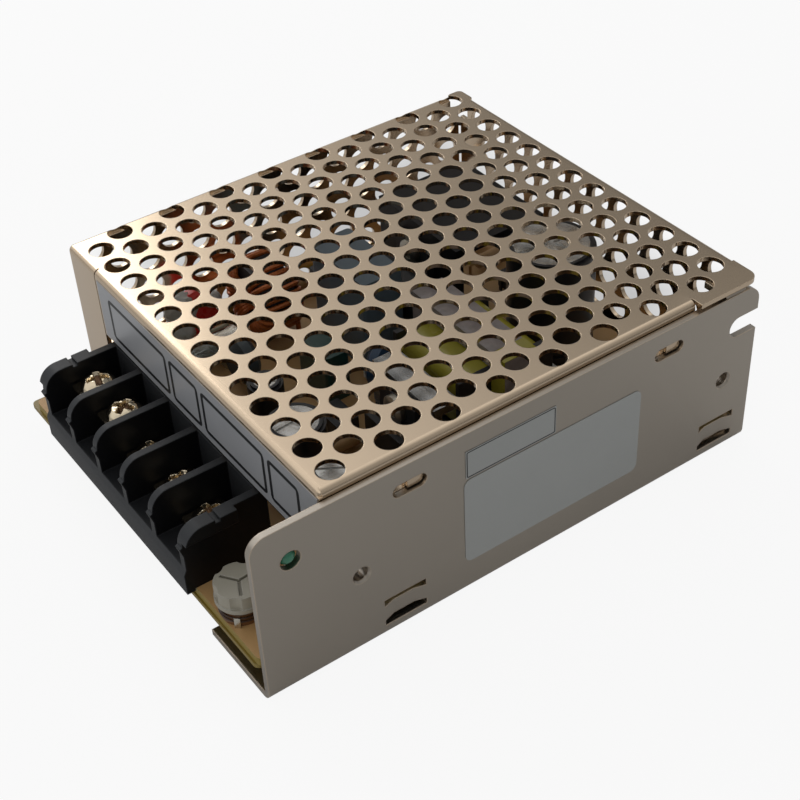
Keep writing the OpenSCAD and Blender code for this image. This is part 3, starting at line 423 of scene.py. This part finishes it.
class SUPPLY_OT_labels(bpy.types.Operator):
    """Finishes the bare films and adds the printed frames on them."""

    bl_idname = "supply.labels"
    bl_label = "Labels"

    def execute(self, context):
        s = context.scene.supply_case
        # Metallised polyester film: smooth and slightly silky.
        silver = surface(
            "Metallised film", s.rating, 0.3, 0.4, mottle=(14, 0.05), grain=(0.3, 0.002), edge=0.03
        )
        # Clear-backed film that lets the plating's tone through.
        clear = surface(
            "Translucent film", shade(s.rating, 0.97), 0.4, 0.36,
            mottle=(10, 0.04), grain=(0.3, 0.002), edge=0.03,
        )
        # Silver-blue film, printed from behind: cool and satin.
        strip = surface(
            "Printed polyester film", s.strip, 0.25, 0.4, mottle=(12, 0.06), grain=(0.3, 0.002), edge=0.03
        )
        # Ink laid on by screen: thick, black and a little glossy.
        ink = surface(
            "Screen-print ink", s.print_ink, 0, 0.45, mottle=(5, 0.05), grain=(0.3, 0.002), edge=0.01
        )
        dress(silver, "rating_label")
        dress(clear, "serial_label")
        dress(strip, "terminal_label")
        low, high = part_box("terminal_label")
        foot, head = low.z + CELL_BELOW * MM, high.z - CELL_ABOVE * MM
        builder = bmesh.new()
        for left, right in STRIP_CELLS:
            rounded_frame(
                builder, (left * MM, foot), (right * MM, head),
                CELL_CORNER * MM, s.line, low.y, INK_THICK * MM,
            )
        finish_piece("strip_frames", builder, [ink], UNIT, rounded=False)

        low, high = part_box("serial_label")
        builder = bmesh.new()
        margin = BORDER_MARGIN * MM
        rounded_frame(
            builder, (low.y + margin, low.z + margin), (high.y - margin, high.z - margin),
            BORDER_CORNER * MM, BORDER_LINE * MM, 0, INK_THICK * MM,
        )
        bmesh.ops.transform(
            builder, matrix=Matrix.Translation((high.x, 0, 0)) @ turn(90, "Z"), verts=builder.verts
        )
        finish_piece("serial_frame", builder, [ink], UNIT, rounded=False)
        return {"FINISHED"}


# A screw's head: how high its crown stands over the seat, how far the crown falls to the rim and
# how late, and the steps of that curve.
HEAD_CROWN = 2.36
CROWN_FALL = 1.25
CROWN_POWER = 3.2
CROWN_STEPS = 20
SHANK = 1.5


def cross_head(s, seat, tip, wear):
    """A pan head screw with a driven cross recess, its middle on the axis and its seat at a height."""
    head, foot = s.head / MM, tip - seat
    crown = [
        (head * i / CROWN_STEPS, HEAD_CROWN - CROWN_FALL * (i / CROWN_STEPS) ** CROWN_POWER)
        for i in range(CROWN_STEPS)
    ]
    section = crown + [
        (head * 0.975, 1.05), (head, 0.8), (head, 0.25), (head * 0.97, 0.0), (1.62, 0.0), (SHANK, -0.15),
        (SHANK, foot + 0.7), (0.9, foot), (0.0, foot),
    ]
    shape = turned(section, steps=72)
    sunk = set()
    for vert in shape.verts:
        x, y, z = (c / MM for c in vert.co)
        if z < 0.9:
            continue
        along, across = max(abs(x), abs(y)), min(abs(x), abs(y))
        reach = max(0.0, 1 - (along / (s.arm / MM)) ** 4)
        wall = max(0.0, 1 - (across / (s.arm_width / MM)) ** 4)
        rub = noise.noise(Vector((x * 1.9, y * 1.9, wear)))
        deep = (s.depth / MM) * (1 - 0.45 * along / 2) * min(1.0, 2 * reach) * min(1.0, 1.6 * wall)
        vert.co.z -= (deep + 0.06 * rub) * MM
        if deep > 0.3:
            sunk.add(vert)
    # Faces deep in the recess take the second finish, which paints shade into it.
    for face in shape.faces:
        face.material_index = int(all(vert in sunk for vert in face.verts))
    return shape


class SUPPLY_OT_terminals(bpy.types.Operator):
    """Finishes the terminal block, its contacts and clamp plates, and makes the screws."""

    bl_idname = "supply.terminals"
    bl_label = "Terminals"

    def execute(self, context):
        s = context.scene.supply_terminals
        # Polybutylene terephthalate, moulded: near black with a soft sheen. Its faces turned to the front and
        # up are painted greyer, a painted light on the lit faces, and its edges are painted lighter, a
        # painted highlight.
        block = surface(
            "Moulded PBT", s.moulding, 0, 0.42, specular=0.22, mottle=(8, 0.1), grain=(0.35, 0.006),
            edge=0.3, edge_wear_and_highlight=(linear("#303336"), 0.5), painted_lit_faces=(linear("#383a3d"), 0.85, (0, -0.8, 0.6)),
        )
        # Tin over brass: pale and satin.
        contact = surface("Tinned brass", linear("#8f8a80"), 1, 0.3, mottle=(4, 0.06), grain=(0.2, 0.003))
        # Nickel over steel with a yellow cast, tumbled bright and marked by the driver.
        nickel = surface(
            "Nickel-plated steel, bright", s.nickel, 1, 0.13, mottle=(2, 0.12), grain=(0.7, 0.02), edge=0.1
        )
        # Painted shade in the cross recess: dark brown and dull, with a coarse mottle, on the faces deep in
        # the recess.
        recess_shade = surface(
            "Recess, painted shade", linear("#5a4636"), 1, 0.38, mottle=(0.6, 0.35), grain=(0.3, 0.02), edge=0.06
        )
        dress(block, "terminal_block")
        dress(contact, "terminal_contacts")
        clamps = [f"clamp_plate_{i}" for i in range(1, 6)]
        dress(nickel, *clamps)
        smooth("terminal_block", "terminal_contacts", *clamps)
        for i in range(1, 6):
            node = f"terminal_screw_{i}"
            low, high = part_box(node)
            seat = high.z / MM - HEAD_CROWN
            shape = cross_head(s, seat, low.z / MM, wear=3.1 * i)
            middle = centre(node) / MM
            builder = bmesh.new()
            put(builder, shape, at(middle.x, middle.y, seat) @ turn(25 + 50 * i, "Z"))
            finish_piece(
                f"screw_head_{i}", builder, [nickel, recess_shade], f"screw_{i}", replaced=[node]
            )
        return {"FINISHED"}


class SUPPLY_OT_trimmer(bpy.types.Operator):
    """Finishes the trimmer and the status lamp."""

    bl_idname = "supply.trimmer"
    bl_label = "Trimmer and lamp"

    def execute(self, context):
        # Natural nylon, moulded: milky grey and waxy, its rim painted a little brighter as a painted
        # highlight.
        knob = surface(
            "Moulded nylon", linear("#9f9a8b"), 0, 0.4, mottle=(4, 0.05), grain=(0.4, 0.006),
            edge=0.25, edge_wear_and_highlight=(linear("#c4c3bc"), 0.6),
        )
        # Phenolic resin plate: brown with a dull gloss.
        base = surface("Phenolic resin", linear("#6b4728"), 0, 0.4, mottle=(2, 0.15), grain=(0.3, 0.01))
        # Tinned copper wire: pale and bright.
        tinned = surface("Tinned wire", linear("#c9c4b8"), 1, 0.25, mottle=(3, 0.06), grain=(0.2, 0.003))
        # Green epoxy lens: clear gloss over a deep colour.
        lamp = surface(
            "Green epoxy", linear("#2f7358"), 0, 0.16, coat=0.3, mottle=(1.2, 0.1), grain=(0.5, 0.002)
        )
        dress(knob, "trimmer_knob")
        dress(base, "trimmer_base")
        dress(tinned, "trimmer_pins", "lamp_leads", "jumper_wires")
        dress(lamp, "status_lamp")
        smooth("trimmer_knob", "trimmer_base", "trimmer_pins", "lamp_leads", "jumper_wires", "status_lamp")

        # The resistive track and its collar, as raised rings on the base's edge.
        middle = centre("trimmer_knob") / MM
        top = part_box("trimmer_base")[1].z / MM
        builder = bmesh.new()
        for radius, drop in ((3.62, 0.35), (3.66, 1.15), (3.62, 1.95)):
            put(builder, wire_ring(radius, 0.17, steps=48), at(middle.x, middle.y, top - drop))
        # Carbon film fired on the resin: dark brown with a dull, slightly greasy sheen.
        track = surface("Carbon track", linear("#3b2414"), 0, 0.35, mottle=(2, 0.1), grain=(0.3, 0.004))
        finish_piece("trimmer_tracks", builder, [track], UNIT)
        return {"FINISHED"}


# A can's end: the width of the rolled sleeve round it, how deep it lies, and its scores and sheet.
CAN_ROLL = 1.12
CAN_SINK = 0.06
SCORE_DEPTH = 0.22
CAN_SHEET = 0.05


def can_top(radius, score):
    """The pressed end of a can: a flat disc with sunk score lines, as deep as a safety vent's."""
    shape = bmesh.new()
    bmesh.ops.create_circle(shape, cap_ends=True, segments=40, radius=radius * MM)
    half = 0.035 * radius + 0.12
    for angle in range(0, 180, 180 // score):
        across = turn(angle, "Z") @ Vector((0, 1, 0))
        for side in (-half, half):
            bmesh.ops.bisect_plane(
                shape, geom=shape.verts[:] + shape.edges[:] + shape.faces[:], dist=1e-8,
                plane_co=across * side * MM, plane_no=across,
            )
    lines = []
    for face in shape.faces:
        mid = face.calc_center_median() / MM
        for angle in range(0, 180, 180 // score):
            across = turn(angle, "Z") @ Vector((0, 1, 0))
            if abs(mid.dot(across)) < half and mid.length < radius * 0.96:
                lines.append(face)
                break
    sunk = bmesh.ops.extrude_face_region(shape, geom=lines)["geom"]
    bmesh.ops.delete(shape, geom=lines, context="FACES_ONLY")
    bmesh.ops.translate(
        shape, verts=[g for g in sunk if isinstance(g, bmesh.types.BMVert)], vec=(0, 0, -SCORE_DEPTH * MM)
    )
    bmesh.ops.delete(shape, geom=[v for v in shape.verts if not v.link_faces], context="VERTS")
    bmesh.ops.recalc_face_normals(shape, faces=shape.faces)
    bmesh.ops.solidify(shape, geom=shape.faces[:], thickness=-CAN_SHEET * MM)
    return shape


class SUPPLY_OT_capacitors(bpy.types.Operator):
    """Finishes the can capacitors and adds the scored ends of their cans."""

    bl_idname = "supply.capacitors"
    bl_label = "Capacitors"

    def execute(self, context):
        # Shrunk PVC sleeve: black with a soft, slightly rippled gloss.
        sleeve = surface("Black PVC sleeve", linear("#1b1d21"), 0, 0.32, mottle=(6, 0.1), grain=(1.5, 0.02))
        # Deep-drawn aluminium: silver, satin, with fine circular marks.
        can = surface(
            "Drawn aluminium", linear("#c3c3c0"), 1, 0.24, mottle=(1.5, 0.12), grain=(0.5, 0.02), edge=0.15
        )
        builder = bmesh.new()
        names = ["bulk_capacitor", "output_capacitor_1", "output_capacitor_2"]
        names += [f"small_capacitor_{i}" for i in (1, 2, 3)]
        for i, name in enumerate(names):
            low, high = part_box(name)
            middle = centre(name) / MM
            radius = (high.x - low.x) / 2 / MM - CAN_ROLL
            score = 1 if name == "output_capacitor_1" else 3 if name == "bulk_capacitor" else 2
            lay = at(middle.x, middle.y, high.z / MM - CAN_SINK) @ turn(20 + 37 * i, "Z")
            put(builder, can_top(radius, score), lay)
        finish_piece("can_tops", builder, [can], UNIT)
        dress(sleeve, *names)
        smooth(*names)
        # Moulded polypropylene box: slate grey, smooth, with softly moulded edges.
        box = surface(
            "Slate polypropylene case", linear("#5d6d78"), 0, 0.35, mottle=(8, 0.06), grain=(0.3, 0.006)
        )
        # Dipped ceramic disc: thick blue lacquer with a wet gloss.
        blue = surface("Blue ceramic dip", linear("#2a4663"), 0, 0.3, mottle=(3, 0.1), grain=(1.2, 0.03))
        # Dipped polyester film: dark teal lacquer, wet and slightly lumpy.
        teal = surface("Teal polyester dip", linear("#15403b"), 0, 0.3, mottle=(3, 0.1), grain=(1.2, 0.03))
        # Fluidised-bed epoxy on the surge disc: bright red, rounded and glossy.
        red = surface("Red epoxy dip", linear("#d8302a"), 0, 0.28, mottle=(3, 0.1), grain=(1.2, 0.03))
        # Phenolic dip on the inrush disc: dark grey green, chalkier than the others.
        green = surface("Dark phenolic dip", linear("#3a4448"), 0, 0.45, mottle=(3, 0.1), grain=(0.8, 0.03))
        for finish, name in (
            (box, "mains_capacitor"), (blue, "safety_capacitor"), (teal, "film_capacitor"),
            (red, "varistor"), (green, "thermistor"),
        ):
            dress(finish, name)
            smooth(name)
        return {"FINISHED"}


# Height of the board's upper face.
BOARD_TOP = 8.4
# The line choke's winding: its bore, its rim and half its height, and the arc that each coil covers.
CHOKE_BORE = 2.45
CHOKE_RIM = 7.95
CHOKE_HALF = 4.95
COIL_START = 22
COIL_ARC = 136
LEAD_LONG = 5.0
# The output coil's turns: their radius, the height that they fill and where it starts.
TURN_RADIUS = 4.1
TURN_SPAN = 7.2
TURN_FOOT = 1.5


class SUPPLY_OT_windings(bpy.types.Operator):
    """Winds the line choke and the output coil, and finishes their cores, the transformer and its tape."""

    bl_idname = "supply.windings"
    bl_label = "Windings"

    def execute(self, context):
        s = context.scene.supply_parts
        # Polyurethane enamel over copper: orange brown with a wet sheen.
        enamel = surface(
            "Enamelled copper wire", s.enamel, 0.35, 0.28, mottle=(2.5, 0.15), grain=(0.3, 0.003), edge=0.05
        )
        # Pressed and sintered ferrite: dark grey, dull and slightly gritty.
        ferrite = surface("Sintered ferrite", linear("#3a3838"), 0, 0.6, mottle=(4, 0.08), grain=(0.3, 0.02))
        # Ground ferrite under dipping varnish: grey, with darker runs.
        ground = surface(
            "Varnished ferrite", linear("#8c8483"), 0, 0.35, coat=0.3, mottle=(1.6, 0.45), grain=(1.2, 0.05)
        )
        # Phenolic moulding compound, pressed: black, dull, with a trace of flow.
        former = surface("Moulded phenolic", linear("#1f1f22"), 0, 0.45, mottle=(4, 0.08), grain=(0.3, 0.01))
        # Polyester tape: yellow, glossy, with the ripple of the turns below it.
        tape = surface(
            "Yellow polyester tape", linear("#a8a03a"), 0, 0.26,
            mottle=(4, 0.1), grain=(2.2, 0.06), stretch=(0.3, 0.3, 2),
        )
        middle = centre("line_choke_winding") / MM
        axis_z = centre("line_choke_core").z / MM
        wire = s.choke_wire / MM
        inner, outer, half = CHOKE_BORE + wire, CHOKE_RIM - wire, CHOKE_HALF - wire
        builder = bmesh.new()
        for side in (-1, 1):
            for i in range(s.choke_turns):
                swing = COIL_START + COIL_ARC * i / (s.choke_turns - 1)
                loop = wire_ring((outer - inner) / 2, wire, steps=16, sides=7)
                for vert in loop.verts:
                    stretch = half - (outer - inner) / 2
                    vert.co.y += math.copysign(stretch * MM, vert.co.y) if abs(vert.co.y) > 1e-6 else 0
                lay = turn(side * swing, "Y") @ at(0, 0, (outer + inner) / 2) @ turn(90, "Y")
                put(builder, loop, at(middle.x, middle.y, axis_z) @ lay)
            for end in (-1, 1):
                lead = turned([(0.0, 0.0), (wire, 0.0), (wire, LEAD_LONG), (0.0, LEAD_LONG + 0.2)], steps=10)
                put(builder, lead, at(middle.x + side * 4, middle.y + end * 4.2, BOARD_TOP))
        finish_piece(
            "choke_turns", builder, [enamel], UNIT, replaced=["line_choke_winding"]
        )

        middle = centre("output_inductor") / MM
        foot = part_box("output_inductor")[0].z / MM
        builder = bmesh.new()
        pitch = TURN_SPAN / s.coil_turns
        for i in range(s.coil_turns):
            ring = wire_ring(TURN_RADIUS, s.coil_wire / MM, steps=36, sides=7)
            put(builder, ring, at(middle.x, middle.y, foot + TURN_FOOT + pitch * (i + 0.5)))
        finish_piece("coil_turns", builder, [enamel], UNIT)

        dress(ferrite, "line_choke_core", "output_inductor")
        dress(ground, "transformer_core")
        dress(former, "transformer_bobbin")
        dress(tape, "transformer_winding", "transformer_tape")
        smooth("line_choke_core", "output_inductor", "transformer_core", "transformer_bobbin")
        smooth("transformer_winding", "transformer_tape")
        return {"FINISHED"}


# The fuse: how long its caps are, and how far its tube and its strand start from each end.
FUSE_CAP = 5.5
TUBE_START = 4.8
STRAND_START = 5.4
STRAND_RADIUS = 0.14
# Beads of sealant on the board: place and radius.
BEADS = (
    (14.0, 27.6, 2.1), (-2.2, 27.8, 1.8), (-5.8, 3.4, 1.6), (-24.2, 4.2, 1.7), (18.9, -22.0, 1.7),
    (8.2, -27.6, 1.5), (25.0, -25.4, 1.5), (-19.0, -1.0, 1.6),
)
# Lumps of glue round the surge disc: place, radius and how far each is squeezed along X.
LUMPS = (
    (-35.1, -18.9, 16.6, 3.5, 0.78), (-34.6, -20.3, 12.6, 3.1, 0.9), (-33.2, -13.4, 17.6, 1.7, 1.0),
)


class SUPPLY_OT_parts(bpy.types.Operator):
    """Makes the fuse, the sealant and the glue, and finishes the small parts on the board."""

    bl_idname = "supply.parts"
    bl_label = "Board parts"

    def execute(self, context):
        # Drawn glass tube: clear, faintly green, smooth.
        glass, _, bsdf = new_material("Drawn glass")
        bsdf.inputs["Base Color"].default_value = linear("#dfe9e8")
        bsdf.inputs["Roughness"].default_value = 0.05
        bsdf.inputs["IOR"].default_value = 1.5
        bsdf.inputs["Transmission Weight"].default_value = 0.85
        # Nickel-plated brass, stamped thin: bright.
        cap = surface("Nickel-plated brass", linear("#c9c5ba"), 1, 0.2, mottle=(3, 0.06), grain=(0.3, 0.004))
        low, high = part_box("fuse")
        middle = centre("fuse") / MM
        long, radius = (high.y - low.y) / MM, (high.x - low.x) / 2 / MM
        builder = bmesh.new()
        front = at(middle.x, low.y / MM, middle.z) @ turn(-90, "X")
        rear = at(middle.x, high.y / MM, middle.z) @ turn(90, "X")
        wide, narrow, tube_end = radius - 0.3, radius - 0.8, long - TUBE_START
        tube = [(wide, TUBE_START), (wide, tube_end), (narrow, tube_end), (narrow, TUBE_START)]
        put(builder, turned(tube + tube[:1], index=0), front)
        shell = [
            (0, 0), (radius - 0.35, 0), (radius, 0.35), (radius, FUSE_CAP - 0.2), (radius - 0.2, FUSE_CAP),
            (0, FUSE_CAP),
        ]
        put(builder, turned(shell, index=1), front)
        put(builder, turned(shell, index=1), rear)
        strand_end = long - STRAND_START
        strand = [
            (0, STRAND_START), (STRAND_RADIUS, STRAND_START), (STRAND_RADIUS, strand_end), (0, strand_end),
        ]
        put(builder, turned(strand, steps=8, index=1), front)
        finish_piece("fuse_tube", builder, [glass, cap], UNIT, replaced=["fuse"])

        # Silicone sealant, laid by hand: white, rubbery, rounded.
        bead = surface("White silicone", linear("#d9d8d2"), 0, 0.45, mottle=(2, 0.04), grain=(0.8, 0.03))
        builder = bmesh.new()
        for i, (x, y, size) in enumerate(BEADS):
            blob = bmesh.new()
            bmesh.ops.create_icosphere(blob, subdivisions=3, radius=size * MM)
            for vert in blob.verts:
                rise = 1 + 0.28 * noise.noise(vert.co / (size * MM) * 1.3 + Vector((i * 5.0, 0, 0)))
                vert.co *= rise
            bmesh.ops.scale(blob, verts=blob.verts, vec=(1.15, 0.9, 0.75))
            put(builder, blob, at(x, y, BOARD_TOP + size * 0.45) @ turn(40 * i, "Z"))
        finish_piece("sealant_beads", builder, [bead], UNIT)

        # Hot-melt glue over the surge disc: milky, wrinkled and glossy.
        glue = surface(
            "Hot-melt glue", linear("#b9bab6"), 0, 0.22, coat=0.3, mottle=(1.5, 0.2), grain=(1.0, 0.12)
        )
        builder = bmesh.new()
        for i, (x, y, z, size, squeeze) in enumerate(LUMPS):
            blob = bmesh.new()
            bmesh.ops.create_icosphere(blob, subdivisions=4, radius=size * MM)
            for vert in blob.verts:
                fold = noise.noise(vert.co / MM * 0.9 + Vector((0, i * 7.0, 0)))
                vert.co *= 1 + 0.16 * fold
            bmesh.ops.scale(blob, verts=blob.verts, vec=(squeeze, 1, 1))
            put(builder, blob, at(x, y, z))
        finish_piece("glue_mantle", builder, [glue], UNIT)

        plain = (
            # Tinned phosphor bronze, springy strip: pale and satin.
            ("Tinned spring bronze", "#c8c3b6", 1, 0.3, ("fuse_clips",)),
            # Transfer-moulded epoxy: black, matte, faintly grey.
            ("Black epoxy package", "#1c1d1f", 0, 0.5, (
                "bridge_rectifier", "power_transistor", "output_rectifier", "optocoupler", "controller_chip",
                "small_transistor", "diodes")),
            # Black anodised aluminium: deep and satin.
            ("Black anodised aluminium", "#1d1d20", 0.6, 0.4, ("primary_heatsink",)),
            # Resistor lacquer: tan and eggshell.
            ("Tan resistor lacquer", "#b08a5b", 0, 0.4, ("resistors",)),
        )
        for name, colour, metallic, roughness, nodes in plain:
            finish = surface(
                name, linear(colour), metallic, roughness, mottle=(4, 0.08), grain=(0.3, 0.005)
            )
            dress(finish, *nodes)
            smooth(*nodes)
        # Mill-finish aluminium: pale grey, streaked along the way it was drawn.
        mill = surface(
            "Mill-finish aluminium", linear("#a3a4a4"), 1, 0.26,
            mottle=(1.6, 0.45), grain=(0.8, 0.03), stretch=(0.25, 1, 1),
        )
        dress(mill, "output_heatsink")
        smooth("output_heatsink")
        return {"FINISHED"}


# ---------------------------------------------------------------- stage


CAMERA_PLACE = (0.1803, -0.1139, 0.18411)
CAMERA_TURN = (50.332, 2.492, 54.529)
CAMERA_LENS = 69.717
CAMERA_SENSOR = 36
KEY_PLACE = (-0.5366, 0.0187, 0.31)
FILL_PLACE = (0.35, -0.6, 0.5)
# The way to the dim far side of the studio.
DIM_SIDE = (-0.583, 0.694, 0.423)
FLOOR_RADIUS = 1.6
# How much of the floor's light to the camera is its own, and how light its shade is at the darkest.
FLOOR_GLOW = 0.9
SHADE_LEVEL = 0.55
# Each row is the outward normal of one side of the shade and how far that side is from the middle.
SHADE_SIDES = (
    (-1, 0, 0.093), (0, 1, 0.0886), (0.763, 0.646, 0.0636), (-0.327, -0.945, 0.0474),
    (1, 0, 0.036), (0, -1, 0.046),
)


def studio_camera(scene):
    """The camera that the scene is seen through."""
    camera = bpy.data.objects.new("camera", bpy.data.cameras.new("camera"))
    camera.data.sensor_width = CAMERA_SENSOR
    camera.data.lens = CAMERA_LENS
    camera.data.clip_start = 0.01
    camera.location = CAMERA_PLACE
    camera.rotation_euler = [math.radians(a) for a in CAMERA_TURN]
    scene.collection.objects.link(camera)
    scene.camera = camera


def studio_lamp(scene, name, place, target, size, power):
    """A square soft lamp that faces a point."""
    data = bpy.data.lights.new(name, "AREA")
    data.shape = "RECTANGLE"
    data.size = data.size_y = size
    data.energy = power
    lamp = bpy.data.objects.new(name, data)
    lamp.location = place
    lamp.rotation_euler = (Vector(target) - Vector(place)).to_track_quat("-Z", "Y").to_euler()
    scene.collection.objects.link(lamp)


def studio_world(scene, s):
    """Plain white to the camera; to metal, a sky that dims at the far side and at the horizon."""
    world = bpy.data.worlds.new("studio")
    scene.world = world
    world.use_nodes = True
    tree = world.node_tree
    back = tree.nodes["Background"]
    rays = add(tree, "LightPath")
    way = add(tree, "TexCoord").outputs["Generated"]
    toward = add(tree, "VectorMath", [(0, way)], [(1, DIM_SIDE)], operation="DOT_PRODUCT")
    far = add(
        tree, "MapRange", [("Value", toward.outputs["Value"])],
        [("From Min", 0.908), ("From Max", 0.985), ("To Min", 1.0), ("To Max", s.shaded)],
    )
    parts = add(tree, "SeparateXYZ", [("Vector", way)])
    low = add(
        tree, "MapRange", [("Value", parts.outputs["Z"])],
        [("From Min", 0.0), ("From Max", 0.5), ("To Min", s.horizon)],
    )
    right = add(
        tree, "MapRange", [("Value", parts.outputs["X"])],
        [("From Min", 0.5), ("From Max", -0.3), ("To Min", s.horizon)],
    )
    dim = add(tree, "Math", [(0, far.outputs["Result"]), (1, low.outputs["Result"])], operation="MULTIPLY")
    dim = add(tree, "Math", [(0, dim.outputs[0]), (1, right.outputs["Result"])], operation="MULTIPLY")
    direct = add(
        tree, "Math", [(0, rays.outputs["Is Camera Ray"]), (1, rays.outputs["Is Transmission Ray"])],
        operation="MAXIMUM",
    )
    glossy = rays.outputs["Is Glossy Ray"]
    mirrored = add(tree, "Math", [(0, glossy), (1, dim.outputs[0])], operation="MULTIPLY")
    plain = add(tree, "MapRange", [("Value", glossy)], [("To Min", s.ambient), ("To Max", 0.0)])
    lit = add(tree, "Math", [(0, plain.outputs["Result"]), (1, mirrored.outputs[0])], operation="ADD")
    level = add(tree, "Math", [(0, lit.outputs[0]), (1, direct.outputs[0])], operation="MAXIMUM")
    back.inputs["Color"].default_value = (1, 1, 1, 1)
    tree.links.new(level.outputs[0], back.inputs["Strength"])


def floor_finish(s):
    """The floor's paper, which glows to the camera and has a soft shade behind the case."""
    # Matte studio paper: pale and even, without any gloss.
    material, tree, bsdf = new_material("Studio floor")
    bsdf.inputs["Base Color"].default_value = tuple(s.floor) + (1,)
    bsdf.inputs["Roughness"].default_value = 1
    bsdf.inputs["Specular IOR Level"].default_value = 0
    rays = add(tree, "LightPath")
    spot = add(tree, "TexCoord").outputs["Object"]
    out = None
    for x, y, reach in SHADE_SIDES:
        side = add(tree, "VectorMath", [(0, spot)], [(1, (x, y, 0))], operation="DOT_PRODUCT")
        past = add(tree, "Math", [(0, side.outputs["Value"])], [(1, reach)], operation="SUBTRACT").outputs[0]
        out = add(tree, "Math", [(0, past), (1, out or past)], operation="MAXIMUM").outputs[0]
    soft = add(
        tree, "MapRange", [("Value", out)],
        [("From Min", -0.024), ("From Max", -0.003), ("To Min", SHADE_LEVEL), ("To Max", 1.0)],
    )
    glow = add(tree, "Emission", [("Strength", soft.outputs["Result"])], [("Color", (1, 1, 1, 1))])
    share = add(tree, "Math", [(0, rays.outputs["Is Camera Ray"])], [(1, FLOOR_GLOW)], operation="MULTIPLY")
    mixed = add(tree, "MixShader", [("Fac", share.outputs[0]), (1, bsdf.outputs[0]), (2, glow.outputs[0])])
    tree.links.new(mixed.outputs[0], tree.nodes["Material Output"].inputs["Surface"])
    return material


def studio_floor(scene, s):
    """A round floor under the supply."""
    builder = bmesh.new()
    bmesh.ops.create_circle(builder, cap_ends=True, segments=96, radius=FLOOR_RADIUS)
    data = bpy.data.meshes.new("floor")
    builder.to_mesh(data)
    builder.free()
    data.materials.append(floor_finish(s))
    floor = bpy.data.objects.new("floor", data)
    scene.collection.objects.link(floor)


class SUPPLY_OT_stage(bpy.types.Operator):
    """Sets up the camera, the lamps, the floor and the surroundings."""

    bl_idname = "supply.stage"
    bl_label = "Stage"

    def execute(self, context):
        scene, s = context.scene, context.scene.supply_stage
        scene.view_settings.view_transform = "Standard"
        studio_camera(scene)
        studio_lamp(scene, "key", KEY_PLACE, (0, 0, 0), 0.3, s.key)
        studio_lamp(scene, "fill", FILL_PLACE, (0, 0, 0.01), 0.5, s.fill)
        studio_world(scene, s)
        studio_floor(scene, s)
        return {"FINISHED"}


class SUPPLY_PT_panel(bpy.types.Panel):
    """Lists the supply's steps and settings."""

    bl_idname = "SUPPLY_PT_panel"
    bl_label = "Power supply"
    bl_space_type = "VIEW_3D"
    bl_region_type = "UI"
    bl_category = "Supply"

    def draw(self, context):
        for step in STEPS:
            self.layout.operator(step.bl_idname)
        for group in SETTINGS:
            box = self.layout.box()
            for key in group.__annotations__:
                box.prop(getattr(context.scene, SETTINGS[group]), key)


STEPS = (
    SUPPLY_OT_case,
    SUPPLY_OT_board,
    SUPPLY_OT_labels,
    SUPPLY_OT_terminals,
    SUPPLY_OT_trimmer,
    SUPPLY_OT_capacitors,
    SUPPLY_OT_windings,
    SUPPLY_OT_parts,
    SUPPLY_OT_stage,
)
SETTINGS = {
    SupplyCaseSettings: "supply_case",
    SupplyTerminalSettings: "supply_terminals",
    SupplyPartSettings: "supply_parts",
    SupplyStageSettings: "supply_stage",
}


def register():
    """Registers the classes and hangs the settings on the scene."""
    for cls in (*SETTINGS, *STEPS, SUPPLY_PT_panel):
        bpy.utils.register_class(cls)
    for group, key in SETTINGS.items():
        setattr(bpy.types.Scene, key, PointerProperty(type=group))


def unregister():
    """Takes the settings and the classes away again."""
    for key in SETTINGS.values():
        delattr(bpy.types.Scene, key)
    for cls in reversed((*SETTINGS, *STEPS, SUPPLY_PT_panel)):
        bpy.utils.unregister_class(cls)


def main():
    """Makes every piece."""
    register()
    for step in STEPS:
        group, name = step.bl_idname.split(".")
        getattr(getattr(bpy.ops, group), name)()
    bpy.context.view_layer.update()


if __name__ == "__main__":
    main()
